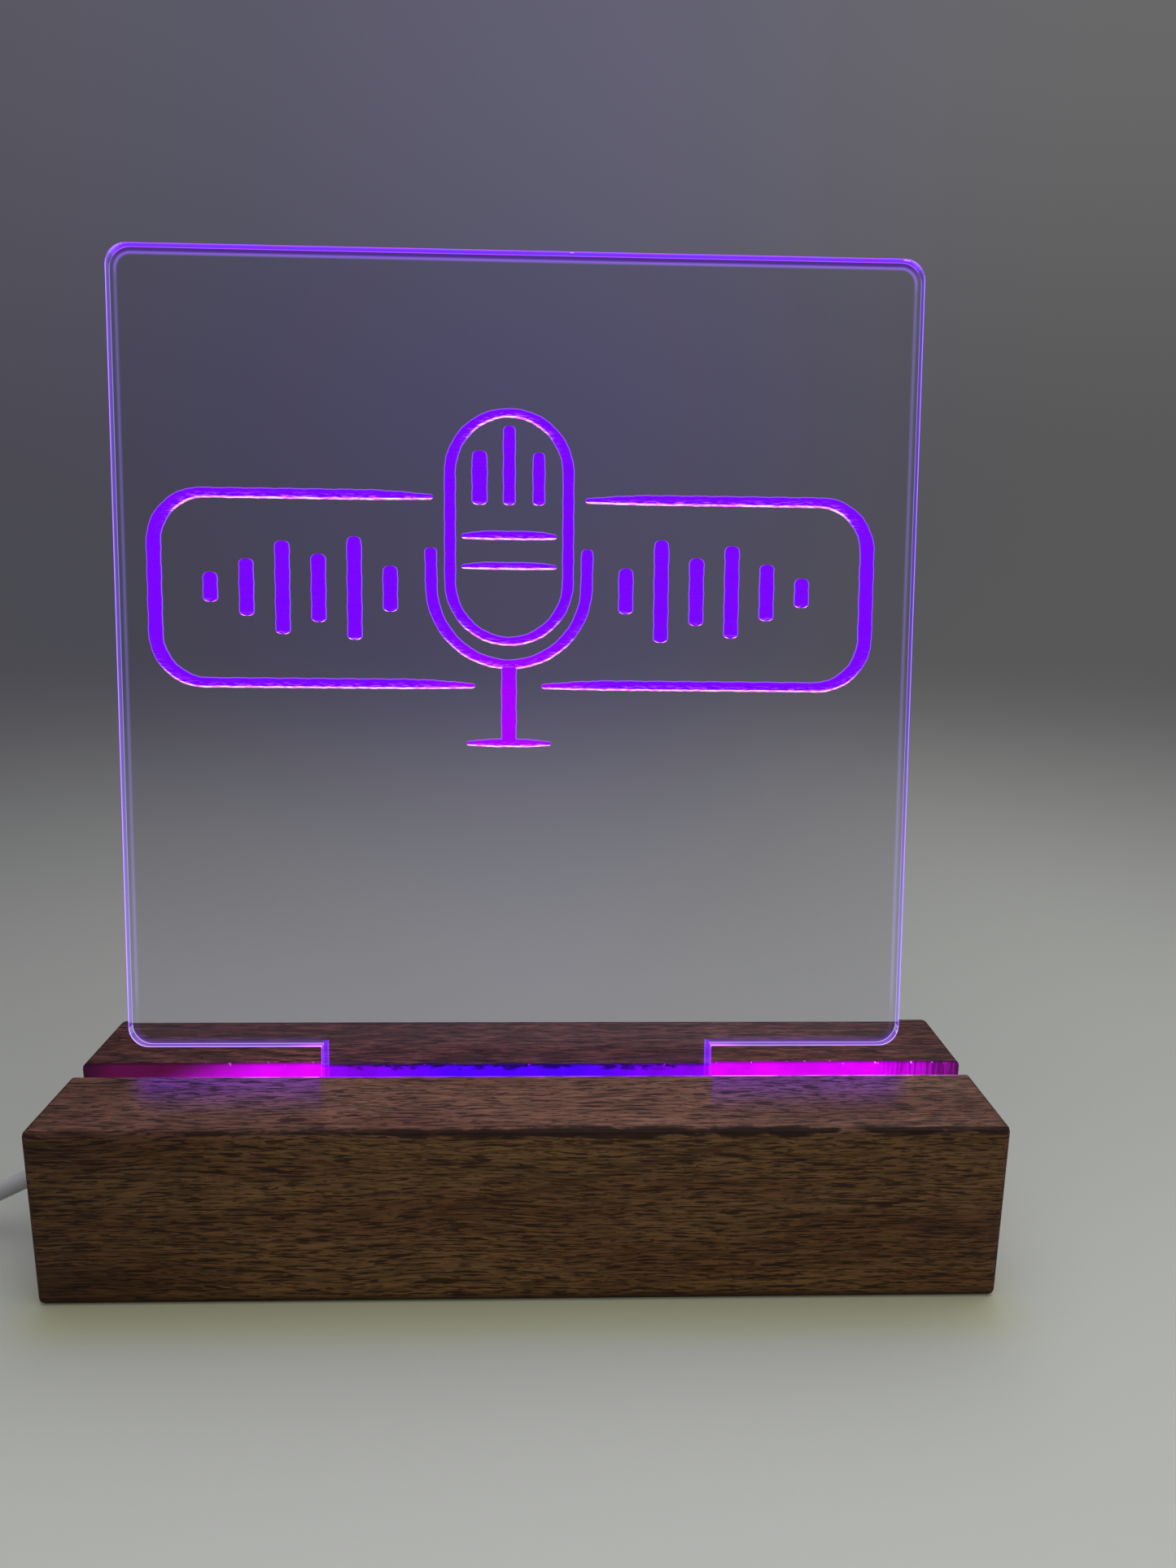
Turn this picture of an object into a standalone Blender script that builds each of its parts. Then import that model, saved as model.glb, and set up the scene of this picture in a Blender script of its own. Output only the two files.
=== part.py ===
"""Edge-lit acrylic desk sign: a grooved wooden block, a clear panel that leans in the groove over an LED
strip, and a thin lead with an in-line rocker switch and a USB plug.

The block stands centred on the origin, its underside at height zero, with its front towards -Y.
"""

import math

import bmesh
import bpy
import numpy as np
from mathutils import Matrix, Vector

# Clearances that several pieces share
FIT_GAP = 0.0003
LEAN_GAP = 0.00015
STEEPEST_LEAN_DEGREES = 45.0
LEAN_SEARCH_STEPS = 60
CUT_OVERRUN = 0.002
TABLE_GAP = 0.0001

# Wooden base
BASE_LENGTH = 0.150
BASE_DEPTH = 0.040
BASE_HEIGHT = 0.0295
BASE_EDGE_RADIUS = 0.0010
SLOT_WIDTH = 0.0050
SLOT_DEPTH = 0.0180
SLOT_LIP_RADIUS = 0.0003

# Acrylic panel
PANEL_THICKNESS = 0.0030
PANEL_WIDTH = 0.1290
PANEL_HEIGHT = 0.1285
PANEL_CORNER_RADIUS = 0.0033
PANEL_SHIFT = -0.0014
TAB_WIDTH = 0.0654
TAB_HEIGHT = 0.0184
TAB_SHIFT = -0.0001
TAB_CORNER_RADIUS = 0.0006

# LED strip on the groove's floor
STRIP_WIDTH = 0.0040
STRIP_LEAST_MARGIN = 0.0150
GROUP_LENGTH = 0.0250
CHIPS_PER_GROUP = 3
TAPE_THICKNESS = 0.0002
CIRCUIT_THICKNESS = 0.0002
CHIP_LENGTH = 0.0035
CHIP_WIDTH = 0.0028
CHIP_HEIGHT = 0.0019
CUP_RADIUS = 0.0012
CUP_FLOOR_RADIUS = 0.0009
CUP_DEPTH = 0.0008
RESISTOR_LENGTH = 0.0020
RESISTOR_WIDTH = 0.0012
RESISTOR_HEIGHT = 0.0005
SOLDER_RADIUS = 0.0007
SOLDER_HEIGHT = 0.0009
SOLDER_INSET = 0.0011
SOLDER_SPACING = 0.0020

# Lead and its end in the groove
CORD_DIAMETER = 0.0030
CORE_DIAMETER = 0.0010
CORE_SPACING = 0.0012
CORD_END_TO_STRIP = 0.0110
CORD_LEVEL_SHARE = 0.3
CORE_LEVEL_SHARE = 0.33
SLEEVE_WALL = 0.00035
SLEEVE_LENGTH = 0.0080
SLEEVE_OVER_CORD_SHARE = 0.5
ANCHOR_LENGTH = 0.0080
ANCHOR_FROM_END = 0.0040
ANCHOR_TO_SLEEVE = 0.0060
ANCHOR_COVER = 0.0010
ANCHOR_EDGE_RADIUS = 0.0007

# Coil of the lead
COIL_CENTRE = (-0.1280, -0.0080)
COIL_MEAN_RADIUS = 0.0165
COIL_PITCH = 0.0035
COIL_RISE = 0.0035
COIL_LAYERS = 4
COIL_TURNS_PER_LAYER = 2.5
COIL_START_DEGREES = 60.0
COIL_LOOP_POINTS = 24
COIL_EXTRA_POINTS = 3

# In-line switch
SWITCH_ENTRY = (-0.1620, 0.0040)
SWITCH_LENGTH = 0.0340
SWITCH_WIDTH = 0.0130
SWITCH_HEIGHT = 0.0104
SWITCH_WALL = 0.0012
SWITCH_CORNER_RADIUS = 0.0042
SWITCH_EDGE_RADIUS = 0.0018
COLLAR_LENGTH = 0.0030
COLLAR_WALL = 0.0009
CORD_GRIP_DEPTH = 0.0035
ROCKER_LENGTH = 0.0092
ROCKER_WIDTH = 0.0060
ROCKER_RISE = 0.0038
ROCKER_DIP = 0.0011
ROCKER_DROP = 0.0014
ROCKER_EDGE_RADIUS = 0.0005
ROCKER_DISH_RADIUS = 0.0092
ROCKER_TILT_DEGREES = 9.0
PIVOT_DROP = 0.0024
TRUNNION_RADIUS = 0.0008
TRUNNION_LENGTH = 0.0008
TRUNNION_GAP = 0.0001
CHEEK_THICKNESS = 0.0009
CHEEK_LENGTH = 0.0036
BRIDGE_THICKNESS = 0.0004
BRIDGE_WIDTH = 0.0010
BRIDGE_LENGTH = 0.0046
BRIDGE_FROM_PIVOT = 0.0032
TERMINAL_THICKNESS = 0.0004
TERMINAL_WIDTH = 0.0018
TERMINAL_SPACING = 0.0030
TERMINAL_REACH = 0.0052
TERMINAL_LAP = 0.0008
SWITCH_CORE_LEVEL_SHARE = 0.25
THROUGH_CORE_LEVEL_SHARE = 0.07
THROUGH_CORE_ASIDE_SHARE = 0.3

# USB plug
PLUG_CABLE_END = (-0.2000, -0.0160)
RELIEF_LENGTH = 0.0090
RELIEF_RADIUS = 0.0026
RELIEF_GROOVE_DEPTH = 0.0006
RELIEF_RIBS = 5
RELIEF_ROUND_SHARE = 0.98
GRIP_LENGTH = 0.0190
GRIP_WIDTH = 0.0155
GRIP_HEIGHT = 0.0078
GRIP_CORNER_RADIUS = 0.0022
GRIP_SHOULDER = 0.0022
GRIP_EASE = 0.0005
SHELL_LENGTH = 0.0120
SHELL_WIDTH = 0.0120
SHELL_HEIGHT = 0.0045
SHELL_WALL = 0.0003
SHELL_CORNER_RADIUS = 0.0006
SHELL_SEAT = 0.0030
LATCH_SIZE = 0.0024
LATCH_SPACING = 0.0048
LATCH_FROM_MOUTH = 0.0055
TONGUE_THICKNESS = 0.0016
TONGUE_BLOCK_LENGTH = 0.0040
TONGUE_SETBACK = 0.0006
CONTACT_WIDTH = 0.0010
CONTACT_THICKNESS = 0.0003
CONTACT_SPACINGS = (-0.0035, -0.0010, 0.0010, 0.0035)
CONTACT_OUTER_LENGTH = 0.0074
CONTACT_INNER_LENGTH = 0.0064

# Facets
EDGE_STEPS = 3
CORNER_STEPS = 8
SMALL_CORNER_STEPS = 4
ROUND_SIDES = 20
CUP_SIDES = 16
SOLDER_SIDES = 8
SMOOTH_DEGREES = 35.0
ROUTE_STEP_DIAMETERS = 2.0
SPLINE_SAMPLES = 24
FEWEST_ROUTE_STEPS = 3
CORD_RESOLUTION = 2
COIL_RESOLUTION = 1
CORE_RESOLUTION = 1
WAY_RESOLUTION = 3

# Heights and places worked out from the sizes
SLOT_FLOOR = BASE_HEIGHT - SLOT_DEPTH
TAPE_TOP = SLOT_FLOOR + FIT_GAP + TAPE_THICKNESS
CIRCUIT_TOP = TAPE_TOP + FIT_GAP + CIRCUIT_THICKNESS
CHIP_TOP = CIRCUIT_TOP + FIT_GAP + CHIP_HEIGHT
TAB_REST = CHIP_TOP + FIT_GAP
CORD_RADIUS = CORD_DIAMETER / 2
CORD_ON_TABLE = CORD_RADIUS + TABLE_GAP
SLEEVE_BORE = CORD_RADIUS + FIT_GAP
SLEEVE_RADIUS = SLEEVE_BORE + SLEEVE_WALL
BASE_END_X = -BASE_LENGTH / 2
ANCHOR_START_X = BASE_END_X + ANCHOR_FROM_END
SLEEVE_START_X = ANCHOR_START_X + ANCHOR_LENGTH + ANCHOR_TO_SLEEVE
CORD_END_X = SLEEVE_START_X + SLEEVE_LENGTH * SLEEVE_OVER_CORD_SHARE
CORD_END_Z = SLOT_FLOOR + FIT_GAP + SLEEVE_RADIUS
STRIP_LEFT = CORD_END_X + CORD_END_TO_STRIP
STRIP_GROUPS = int((BASE_LENGTH / 2 - STRIP_LEAST_MARGIN - STRIP_LEFT) / GROUP_LENGTH)
STRIP_LENGTH = STRIP_GROUPS * GROUP_LENGTH
STRIP_CENTRE_X = STRIP_LEFT + STRIP_LENGTH / 2
SWITCH_SPLIT = SWITCH_HEIGHT / 2
SWITCH_REACH = SWITCH_LENGTH / 2 + COLLAR_LENGTH
SWITCH_FAR_X = SWITCH_ENTRY[0] - 2 * SWITCH_REACH
SWITCH_CENTRE = (SWITCH_ENTRY[0] - SWITCH_REACH, SWITCH_ENTRY[1], SWITCH_SPLIT)
COLLAR_BORE = CORD_RADIUS + FIT_GAP
COLLAR_RADIUS = COLLAR_BORE + COLLAR_WALL
PIVOT_LEVEL = SWITCH_SPLIT - PIVOT_DROP
ROCKER_TILT = math.radians(ROCKER_TILT_DEGREES)
PLUG_AXIS = GRIP_HEIGHT / 2
PANEL_TAB_CENTRE = PANEL_SHIFT + TAB_SHIFT

# The lead's free route, chosen by hand: x from the base's left end, y, and height above the table
DROOP_ROUTE = [
    (-0.0050, 0.0000, 0.0119),
    (-0.0108, 0.0000, 0.0090),
    (-0.0147, 0.0000, 0.00705),
    (-0.0195, 0.0003, 0.0047),
    (-0.0245, 0.0012, 0.0027),
    (-0.0295, 0.0031, 0.0017),
]
# From the coil's top down to the switch, in the table's own frame
TAIL_ROUTE = [
    (-0.1480, 0.0081, 0.0104),
    (-0.1535, 0.0060, 0.0074),
]
# Round from the switch to the plug
END_ROUTE = [
    (-0.2100, 0.0022, 0.0038),
    (-0.2134, -0.0045, 0.0022),
    (-0.2120, -0.0112, 0.0022),
    (-0.2072, -0.0153, 0.0033),
]


def clear_scene():
    """Removes every object that is already in the scene."""
    for thing in list(bpy.data.objects):
        bpy.data.objects.remove(thing, do_unlink=True)


def make_material(name, colour, roughness, metallic=0.0):
    """A Principled material of one colour."""
    material = bpy.data.materials.new(name)
    material.use_nodes = True
    shader = material.node_tree.nodes["Principled BSDF"]
    shader.inputs["Base Color"].default_value = (*colour, 1.0)
    shader.inputs["Roughness"].default_value = roughness
    shader.inputs["Metallic"].default_value = metallic
    material.diffuse_color = (*colour, 1.0)
    return material


def link(name, data, carrier=None):
    """Puts an object in the scene, placed from its carrier where it has one."""
    thing = bpy.data.objects.new(name, data)
    thing.parent = carrier
    bpy.context.collection.objects.link(thing)
    return thing


def place(name, bm, material, carrier=None):
    """Turns a bmesh into an object with outward faces, smooth where it is round."""
    bmesh.ops.recalc_face_normals(bm, faces=bm.faces)
    mesh = bpy.data.meshes.new(name)
    bm.to_mesh(mesh)
    bm.free()
    mesh.shade_smooth()
    mesh.set_sharp_from_angle(angle=math.radians(SMOOTH_DEGREES))
    mesh.materials.append(material)
    return link(name, mesh, carrier)


def cutting_tool(name, bm, carrier=None):
    """An object that only cuts or joins others."""
    tool = place(name, bm, TOOL_MATERIAL, carrier)
    tool.hide_render = True
    tool.display_type = "WIRE"
    return tool


def combine(target, tool, operation):
    """Adds an exact Boolean of the tool to the target."""
    modifier = target.modifiers.new(tool.name, "BOOLEAN")
    modifier.object = tool
    modifier.operation = operation
    modifier.solver = "EXACT"


def box(length, width, height, centre):
    """A plain block of bmesh about its centre."""
    bm = bmesh.new()
    frame = Matrix.Translation(centre) @ Matrix.Diagonal((length, width, height, 1.0))
    bmesh.ops.create_cube(bm, size=1.0, matrix=frame)
    return bm


def eased_box(length, width, height, centre, radius):
    """A block with all its edges rounded."""
    bm = box(length, width, height, centre)
    bmesh.ops.bevel(
        bm, geom=bm.edges[:], offset=radius, segments=EDGE_STEPS, profile=0.5, affect="EDGES"
    )
    return bm


def loft(rings):
    """A closed skin through rings of equal count, flat across its first and last ring."""
    bm = bmesh.new()
    loops = [[bm.verts.new(point) for point in ring] for ring in rings]
    for lower, upper in zip(loops, loops[1:]):
        for i, corner in enumerate(lower):
            following = (i + 1) % len(lower)
            bm.faces.new((corner, lower[following], upper[following], upper[i]))
    bm.faces.new(loops[0][::-1])
    bm.faces.new(loops[-1])
    return bm


def prism(outline, direction):
    """A flat outline of 3D points drawn out along a direction."""
    far_side = [Vector(point) + Vector(direction) for point in outline]
    return loft([outline, far_side])


def filleted(corners, radii, steps):
    """A closed 2D outline through corners, each rounded by its radius with a true arc."""
    outline = []
    for i, corner in enumerate(corners):
        here = Vector(corner)
        radius = radii[i]
        if radius <= 0:
            outline.append(here)
            continue
        back = (Vector(corners[i - 1]) - here).normalized()
        ahead = (Vector(corners[(i + 1) % len(corners)]) - here).normalized()
        half_angle = back.angle(ahead) / 2
        centre = here + (back + ahead).normalized() * radius / math.sin(half_angle)
        start = here + back * radius / math.tan(half_angle) - centre
        finish = here + ahead * radius / math.tan(half_angle) - centre
        sweep = start.angle_signed(finish)
        for step in range(steps + 1):
            turned = -sweep * step / steps
            cosine = math.cos(turned)
            sine = math.sin(turned)
            spoke = (start.x * cosine - start.y * sine, start.x * sine + start.y * cosine)
            outline.append(centre + Vector(spoke))
    return outline


def rounded_rectangle(length, width, radius, steps):
    """The outline of a rectangle with round corners, about its centre."""
    corners = [
        (-length / 2, -width / 2),
        (length / 2, -width / 2),
        (length / 2, width / 2),
        (-length / 2, width / 2),
    ]
    return filleted(corners, [radius] * len(corners), steps)


def circle(radius, sides):
    """The corners of a regular polygon on a circle."""
    turns = [2 * math.pi * i / sides for i in range(sides)]
    return [Vector((radius * math.cos(turn), radius * math.sin(turn))) for turn in turns]


def rod(radius, start, end, sides):
    """A straight round bar from one point to another."""
    along = Vector(end) - Vector(start)
    turn = Vector((0.0, 0.0, 1.0)).rotation_difference(along).to_matrix()
    ring = [Vector(start) + turn @ Vector((spot.x, spot.y, 0.0)) for spot in circle(radius, sides)]
    return prism(ring, along)


def turned_stack(levels, centre, sides):
    """A turned form about a vertical axis: (radius, height) levels from bottom to top."""
    middle = Vector(centre)
    rings = [
        [middle + Vector((spot.x, spot.y, height)) for spot in circle(radius, sides)]
        for radius, height in levels
    ]
    return loft(rings)


def smooth_route(knots, step):
    """Evenly spaced points on a Catmull-Rom curve through the knots."""
    points = np.array([tuple(knot) for knot in knots])
    padded = np.vstack([2 * points[0] - points[1], points, 2 * points[-1] - points[-2]])
    fine = []
    share = np.linspace(0.0, 1.0, SPLINE_SAMPLES, endpoint=False)[:, None]
    for before, start, end, after in zip(padded, padded[1:], padded[2:], padded[3:]):
        fine.append(
            0.5
            * (
                2 * start
                + (end - before) * share
                + (2 * before - 5 * start + 4 * end - after) * share**2
                + (3 * start - 3 * end + after - before) * share**3
            )
        )
    line = np.vstack([*fine, points[-1]])
    along = np.concatenate([[0.0], np.cumsum(np.linalg.norm(np.diff(line, axis=0), axis=1))])
    steps = max(FEWEST_ROUTE_STEPS, round(along[-1] / step))
    stops = np.linspace(0.0, along[-1], steps + 1)
    return np.stack([np.interp(stops, along, line[:, axis]) for axis in range(3)], axis=1)


def route_length(points):
    """The length of a line through points."""
    return float(np.linalg.norm(np.diff(np.array(points), axis=0), axis=1).sum())


def tube(name, points, diameter, resolution, material, carrier=None):
    """A round tube along points, closed by flat caps."""
    curve = bpy.data.curves.new(name, "CURVE")
    curve.dimensions = "3D"
    curve.bevel_depth = diameter / 2
    curve.bevel_resolution = resolution
    curve.use_fill_caps = True
    spline = curve.splines.new("POLY")
    spline.points.add(len(points) - 1)
    for spot, point in zip(spline.points, points):
        spot.co = (*point, 1.0)
        spot.radius = 1.0
    spline.use_smooth = True
    curve.materials.append(material)
    return link(name, curve, carrier)


def tube_tool(name, points, diameter):
    """A mesh tube along points that cuts a clear way for a lead."""
    guide = tube(name + "_guide", points, diameter, WAY_RESOLUTION, TOOL_MATERIAL)
    evaluated = guide.evaluated_get(bpy.context.evaluated_depsgraph_get())
    bm = bmesh.new()
    bm.from_mesh(bpy.data.meshes.new_from_object(evaluated))
    bpy.data.objects.remove(guide, do_unlink=True)
    return cutting_tool(name, bm)


def lean_angle():
    """The panel's lean: its back rests on the groove's rear lip, its lower front edge on the front wall."""
    rise = BASE_HEIGHT - SLOT_LIP_RADIUS - TAB_REST
    low = 0.0
    high = math.radians(STEEPEST_LEAN_DEGREES)
    for _ in range(LEAN_SEARCH_STEPS):
        middle = (low + high) / 2
        run = PANEL_THICKNESS * math.cos(middle) - SLOT_WIDTH + LEAN_GAP - SLOT_LIP_RADIUS
        miss = math.cos(middle) * run + math.sin(middle) * rise + SLOT_LIP_RADIUS + LEAN_GAP
        if miss > 0:
            high = middle
        else:
            low = middle
    return (low + high) / 2


def wood_base():
    """The beech block, eased all round, with its groove open at both ends."""
    size = (BASE_LENGTH, BASE_DEPTH, BASE_HEIGHT)
    block = place(
        "wood_base", eased_box(*size, (0.0, 0.0, BASE_HEIGHT / 2), BASE_EDGE_RADIUS), WOOD
    )
    half = SLOT_WIDTH / 2
    outline = [(-half, SLOT_FLOOR), (half, SLOT_FLOOR)]
    for side in (1.0, -1.0):
        arc = []
        for step in range(EDGE_STEPS + 1):
            turn = math.pi / 2 * step / EDGE_STEPS
            across = half + SLOT_LIP_RADIUS * (1.0 - math.cos(turn))
            height = BASE_HEIGHT - SLOT_LIP_RADIUS * (1.0 - math.sin(turn))
            arc.append((side * across, height))
        arc.append((side * (half + SLOT_LIP_RADIUS), BASE_HEIGHT + CUT_OVERRUN))
        outline += arc if side > 0 else arc[::-1]
    start = -BASE_LENGTH / 2 - CUT_OVERRUN
    section = [(start, y, z) for y, z in outline]
    groove = cutting_tool("groove", prism(section, (BASE_LENGTH + 2 * CUT_OVERRUN, 0.0, 0.0)))
    combine(block, groove, "DIFFERENCE")


def acrylic_panel(lean):
    """The clear panel with its tab; it stands on the tab's lower rear edge."""
    left = PANEL_SHIFT - PANEL_WIDTH / 2
    right = PANEL_SHIFT + PANEL_WIDTH / 2
    tab_left = PANEL_TAB_CENTRE - TAB_WIDTH / 2
    tab_right = PANEL_TAB_CENTRE + TAB_WIDTH / 2
    top = TAB_HEIGHT + PANEL_HEIGHT
    corners = [
        (tab_left, 0.0),
        (tab_right, 0.0),
        (tab_right, TAB_HEIGHT),
        (right, TAB_HEIGHT),
        (right, top),
        (left, top),
        (left, TAB_HEIGHT),
        (tab_left, TAB_HEIGHT),
    ]
    body = PANEL_CORNER_RADIUS
    radii = [TAB_CORNER_RADIUS, TAB_CORNER_RADIUS, 0.0, body, body, body, body, 0.0]
    outline = [(x, 0.0, z) for x, z in filleted(corners, radii, CORNER_STEPS)]
    panel = place("acrylic_panel", prism(outline, (0.0, -PANEL_THICKNESS, 0.0)), ACRYLIC)
    rear_y = PANEL_THICKNESS * math.cos(lean) - SLOT_WIDTH / 2 + LEAN_GAP
    panel.location = (0.0, rear_y, TAB_REST)
    panel.rotation_euler = (-lean, 0.0, 0.0)


def strip_layer(name, top, thickness, material):
    """One flat layer of the LED strip, as long and as wide as the strip."""
    layer = place(name, box(STRIP_LENGTH, STRIP_WIDTH, thickness, (0.0, 0.0, 0.0)), material)
    layer.location = (STRIP_CENTRE_X, 0.0, top - thickness / 2)


def led_strip():
    """The tape, the flexible circuit, and for each group three LED packages and their resistor."""
    strip_layer("strip_tape", TAPE_TOP, TAPE_THICKNESS, TAPE)
    strip_layer("strip_circuit", CIRCUIT_TOP, CIRCUIT_THICKNESS, CIRCUIT)
    pitch = GROUP_LENGTH / CHIPS_PER_GROUP
    seat = CIRCUIT_TOP + FIT_GAP
    first_chip = place("led_chip_01", chip_form(), CHIP)
    first_chip.location = (STRIP_LEFT + pitch / 2, 0.0, seat)
    for i in range(1, STRIP_GROUPS * CHIPS_PER_GROUP):
        chip = link(f"led_chip_{i + 1:02d}", first_chip.data)
        chip.location = (STRIP_LEFT + pitch * (i + 0.5), 0.0, seat)
    resistor_form = box(RESISTOR_LENGTH, RESISTOR_WIDTH, RESISTOR_HEIGHT, (0.0, 0.0, RESISTOR_HEIGHT / 2))
    first_resistor = place("strip_resistor_1", resistor_form, RESISTOR)
    resistor_x = STRIP_LEFT + GROUP_LENGTH - pitch
    first_resistor.location = (resistor_x, 0.0, seat)
    for group in range(1, STRIP_GROUPS):
        resistor = link(f"strip_resistor_{group + 1}", first_resistor.data)
        resistor.location = (resistor_x + group * GROUP_LENGTH, 0.0, seat)


def chip_form():
    """One LED package: a small block with a tapered round cup in its top."""
    spots = circle(1.0, CUP_SIDES)
    walls = []
    for spot in spots:
        reach = max(abs(spot.x), abs(spot.y))
        walls.append((spot.x / reach * CHIP_LENGTH / 2, spot.y / reach * CHIP_WIDTH / 2))
    rings = [
        [(x, y, 0.0) for x, y in walls],
        [(x, y, CHIP_HEIGHT) for x, y in walls],
        [(spot.x * CUP_RADIUS, spot.y * CUP_RADIUS, CHIP_HEIGHT) for spot in spots],
        [
            (spot.x * CUP_FLOOR_RADIUS, spot.y * CUP_FLOOR_RADIUS, CHIP_HEIGHT - CUP_DEPTH)
            for spot in spots
        ],
    ]
    return loft(rings)


def strip_connection(cord_points):
    """Solder joints, the two cores, the shrink sleeve and the hot-melt anchor in the groove."""
    solder_x = STRIP_LEFT + SOLDER_INSET
    seat = CIRCUIT_TOP + FIT_GAP
    dome_shares = [(1.0, 0.0), (0.94, 0.35), (0.70, 0.72), (0.30, 1.0)]
    levels = [(SOLDER_RADIUS * wide, SOLDER_HEIGHT * tall) for wide, tall in dome_shares]
    core_start = CORD_END_X + FIT_GAP
    core_finish = solder_x - SOLDER_RADIUS - FIT_GAP
    core_height = seat + CORE_DIAMETER / 2
    sides = [("red", 1.0, RED), ("black", -1.0, BLACK)]
    for colour, side, material in sides:
        solder_y = side * SOLDER_SPACING / 2
        place(
            f"solder_joint_{colour}",
            turned_stack(levels, (solder_x, solder_y, seat), SOLDER_SIDES),
            SOLDER,
        )
        inner_y = side * CORE_SPACING / 2
        level = (core_finish - core_start) * CORE_LEVEL_SHARE
        knots = [
            (core_start, inner_y, CORD_END_Z),
            (core_start + level, inner_y, CORD_END_Z),
            (core_finish - level, solder_y, core_height),
            (core_finish, solder_y, core_height),
        ]
        points = smooth_route(knots, ROUTE_STEP_DIAMETERS * CORE_DIAMETER)
        tube(f"core_{colour}", points, CORE_DIAMETER, CORE_RESOLUTION, material)
    sleeve_form = rod(SLEEVE_RADIUS, (0.0, 0.0, 0.0), (SLEEVE_LENGTH, 0.0, 0.0), ROUND_SIDES)
    sleeve = place("shrink_sleeve", sleeve_form, SLEEVE)
    sleeve.location = (SLEEVE_START_X, 0.0, CORD_END_Z)
    bore_end = (SLEEVE_LENGTH + CUT_OVERRUN, 0.0, 0.0)
    bore_form = rod(SLEEVE_BORE, (-CUT_OVERRUN, 0.0, 0.0), bore_end, ROUND_SIDES)
    combine(sleeve, cutting_tool("sleeve_bore", bore_form, sleeve), "DIFFERENCE")
    half = SLOT_WIDTH / 2 - FIT_GAP
    bottom = SLOT_FLOOR + FIT_GAP + CORD_RADIUS
    top = CORD_END_Z + CORD_RADIUS + FIT_GAP + ANCHOR_COVER
    corners = [(-half, bottom), (half, bottom), (half, top), (-half, top)]
    radii = [0.0, 0.0, ANCHOR_EDGE_RADIUS, ANCHOR_EDGE_RADIUS]
    section = [(ANCHOR_START_X, y, z) for y, z in filleted(corners, radii, SMALL_CORNER_STEPS)]
    anchor = place("cord_anchor", prism(section, (ANCHOR_LENGTH, 0.0, 0.0)), HOT_MELT)
    way = tube_tool("anchor_way", cord_points, CORD_DIAMETER + 2 * FIT_GAP)
    combine(anchor, way, "DIFFERENCE")


def coil_route():
    """Loops that spiral in and out at a steady rate and climb a layer where they turn back."""
    reach = COIL_PITCH * COIL_TURNS_PER_LAYER / 2
    outer = COIL_MEAN_RADIUS + reach
    inner = COIL_MEAN_RADIUS - reach
    count = round(COIL_LAYERS * COIL_TURNS_PER_LAYER * COIL_LOOP_POINTS) + COIL_EXTRA_POINTS
    points = []
    for i in range(count + 1):
        turn = i / COIL_LOOP_POINTS
        layer = min(int(turn / COIL_TURNS_PER_LAYER), COIL_LAYERS - 1)
        into_layer = (turn - layer * COIL_TURNS_PER_LAYER) * COIL_PITCH
        radius = outer - into_layer if layer % 2 == 0 else inner + into_layer
        height = CORD_ON_TABLE
        for climb in range(1, COIL_LAYERS):
            share = min(max((turn - climb * COIL_TURNS_PER_LAYER) * 2 + 0.5, 0.0), 1.0)
            height += COIL_RISE * share * share * (3 - 2 * share)
        angle = math.radians(COIL_START_DEGREES) + 2 * math.pi * turn
        x = COIL_CENTRE[0] + radius * math.cos(angle)
        y = COIL_CENTRE[1] + radius * math.sin(angle)
        points.append(Vector((x, y, height)))
    heading = (points[1] - points[0]).normalized()
    leaving = (points[-1] - points[-2]).normalized()
    points.insert(0, points[0] - heading * CORD_DIAMETER)
    points.append(points[-1] + leaving * CORD_DIAMETER)
    return points, heading, leaving


def least_gap(points):
    """The least clear gap of a tube to itself, between places half a loop or more apart."""
    line = np.array(points)
    between_shares = (0.0, 0.25, 0.5, 0.75)
    fine = np.vstack([line[:-1] + (line[1:] - line[:-1]) * share for share in between_shares])
    order = np.concatenate([np.arange(len(line) - 1) + share for share in between_shares])
    apart = np.linalg.norm(fine[:, None] - fine[None], axis=2)
    apart[np.abs(order[:, None] - order[None]) < COIL_LOOP_POINTS / 2] = np.inf
    return float(apart.min()) - CORD_DIAMETER


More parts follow.
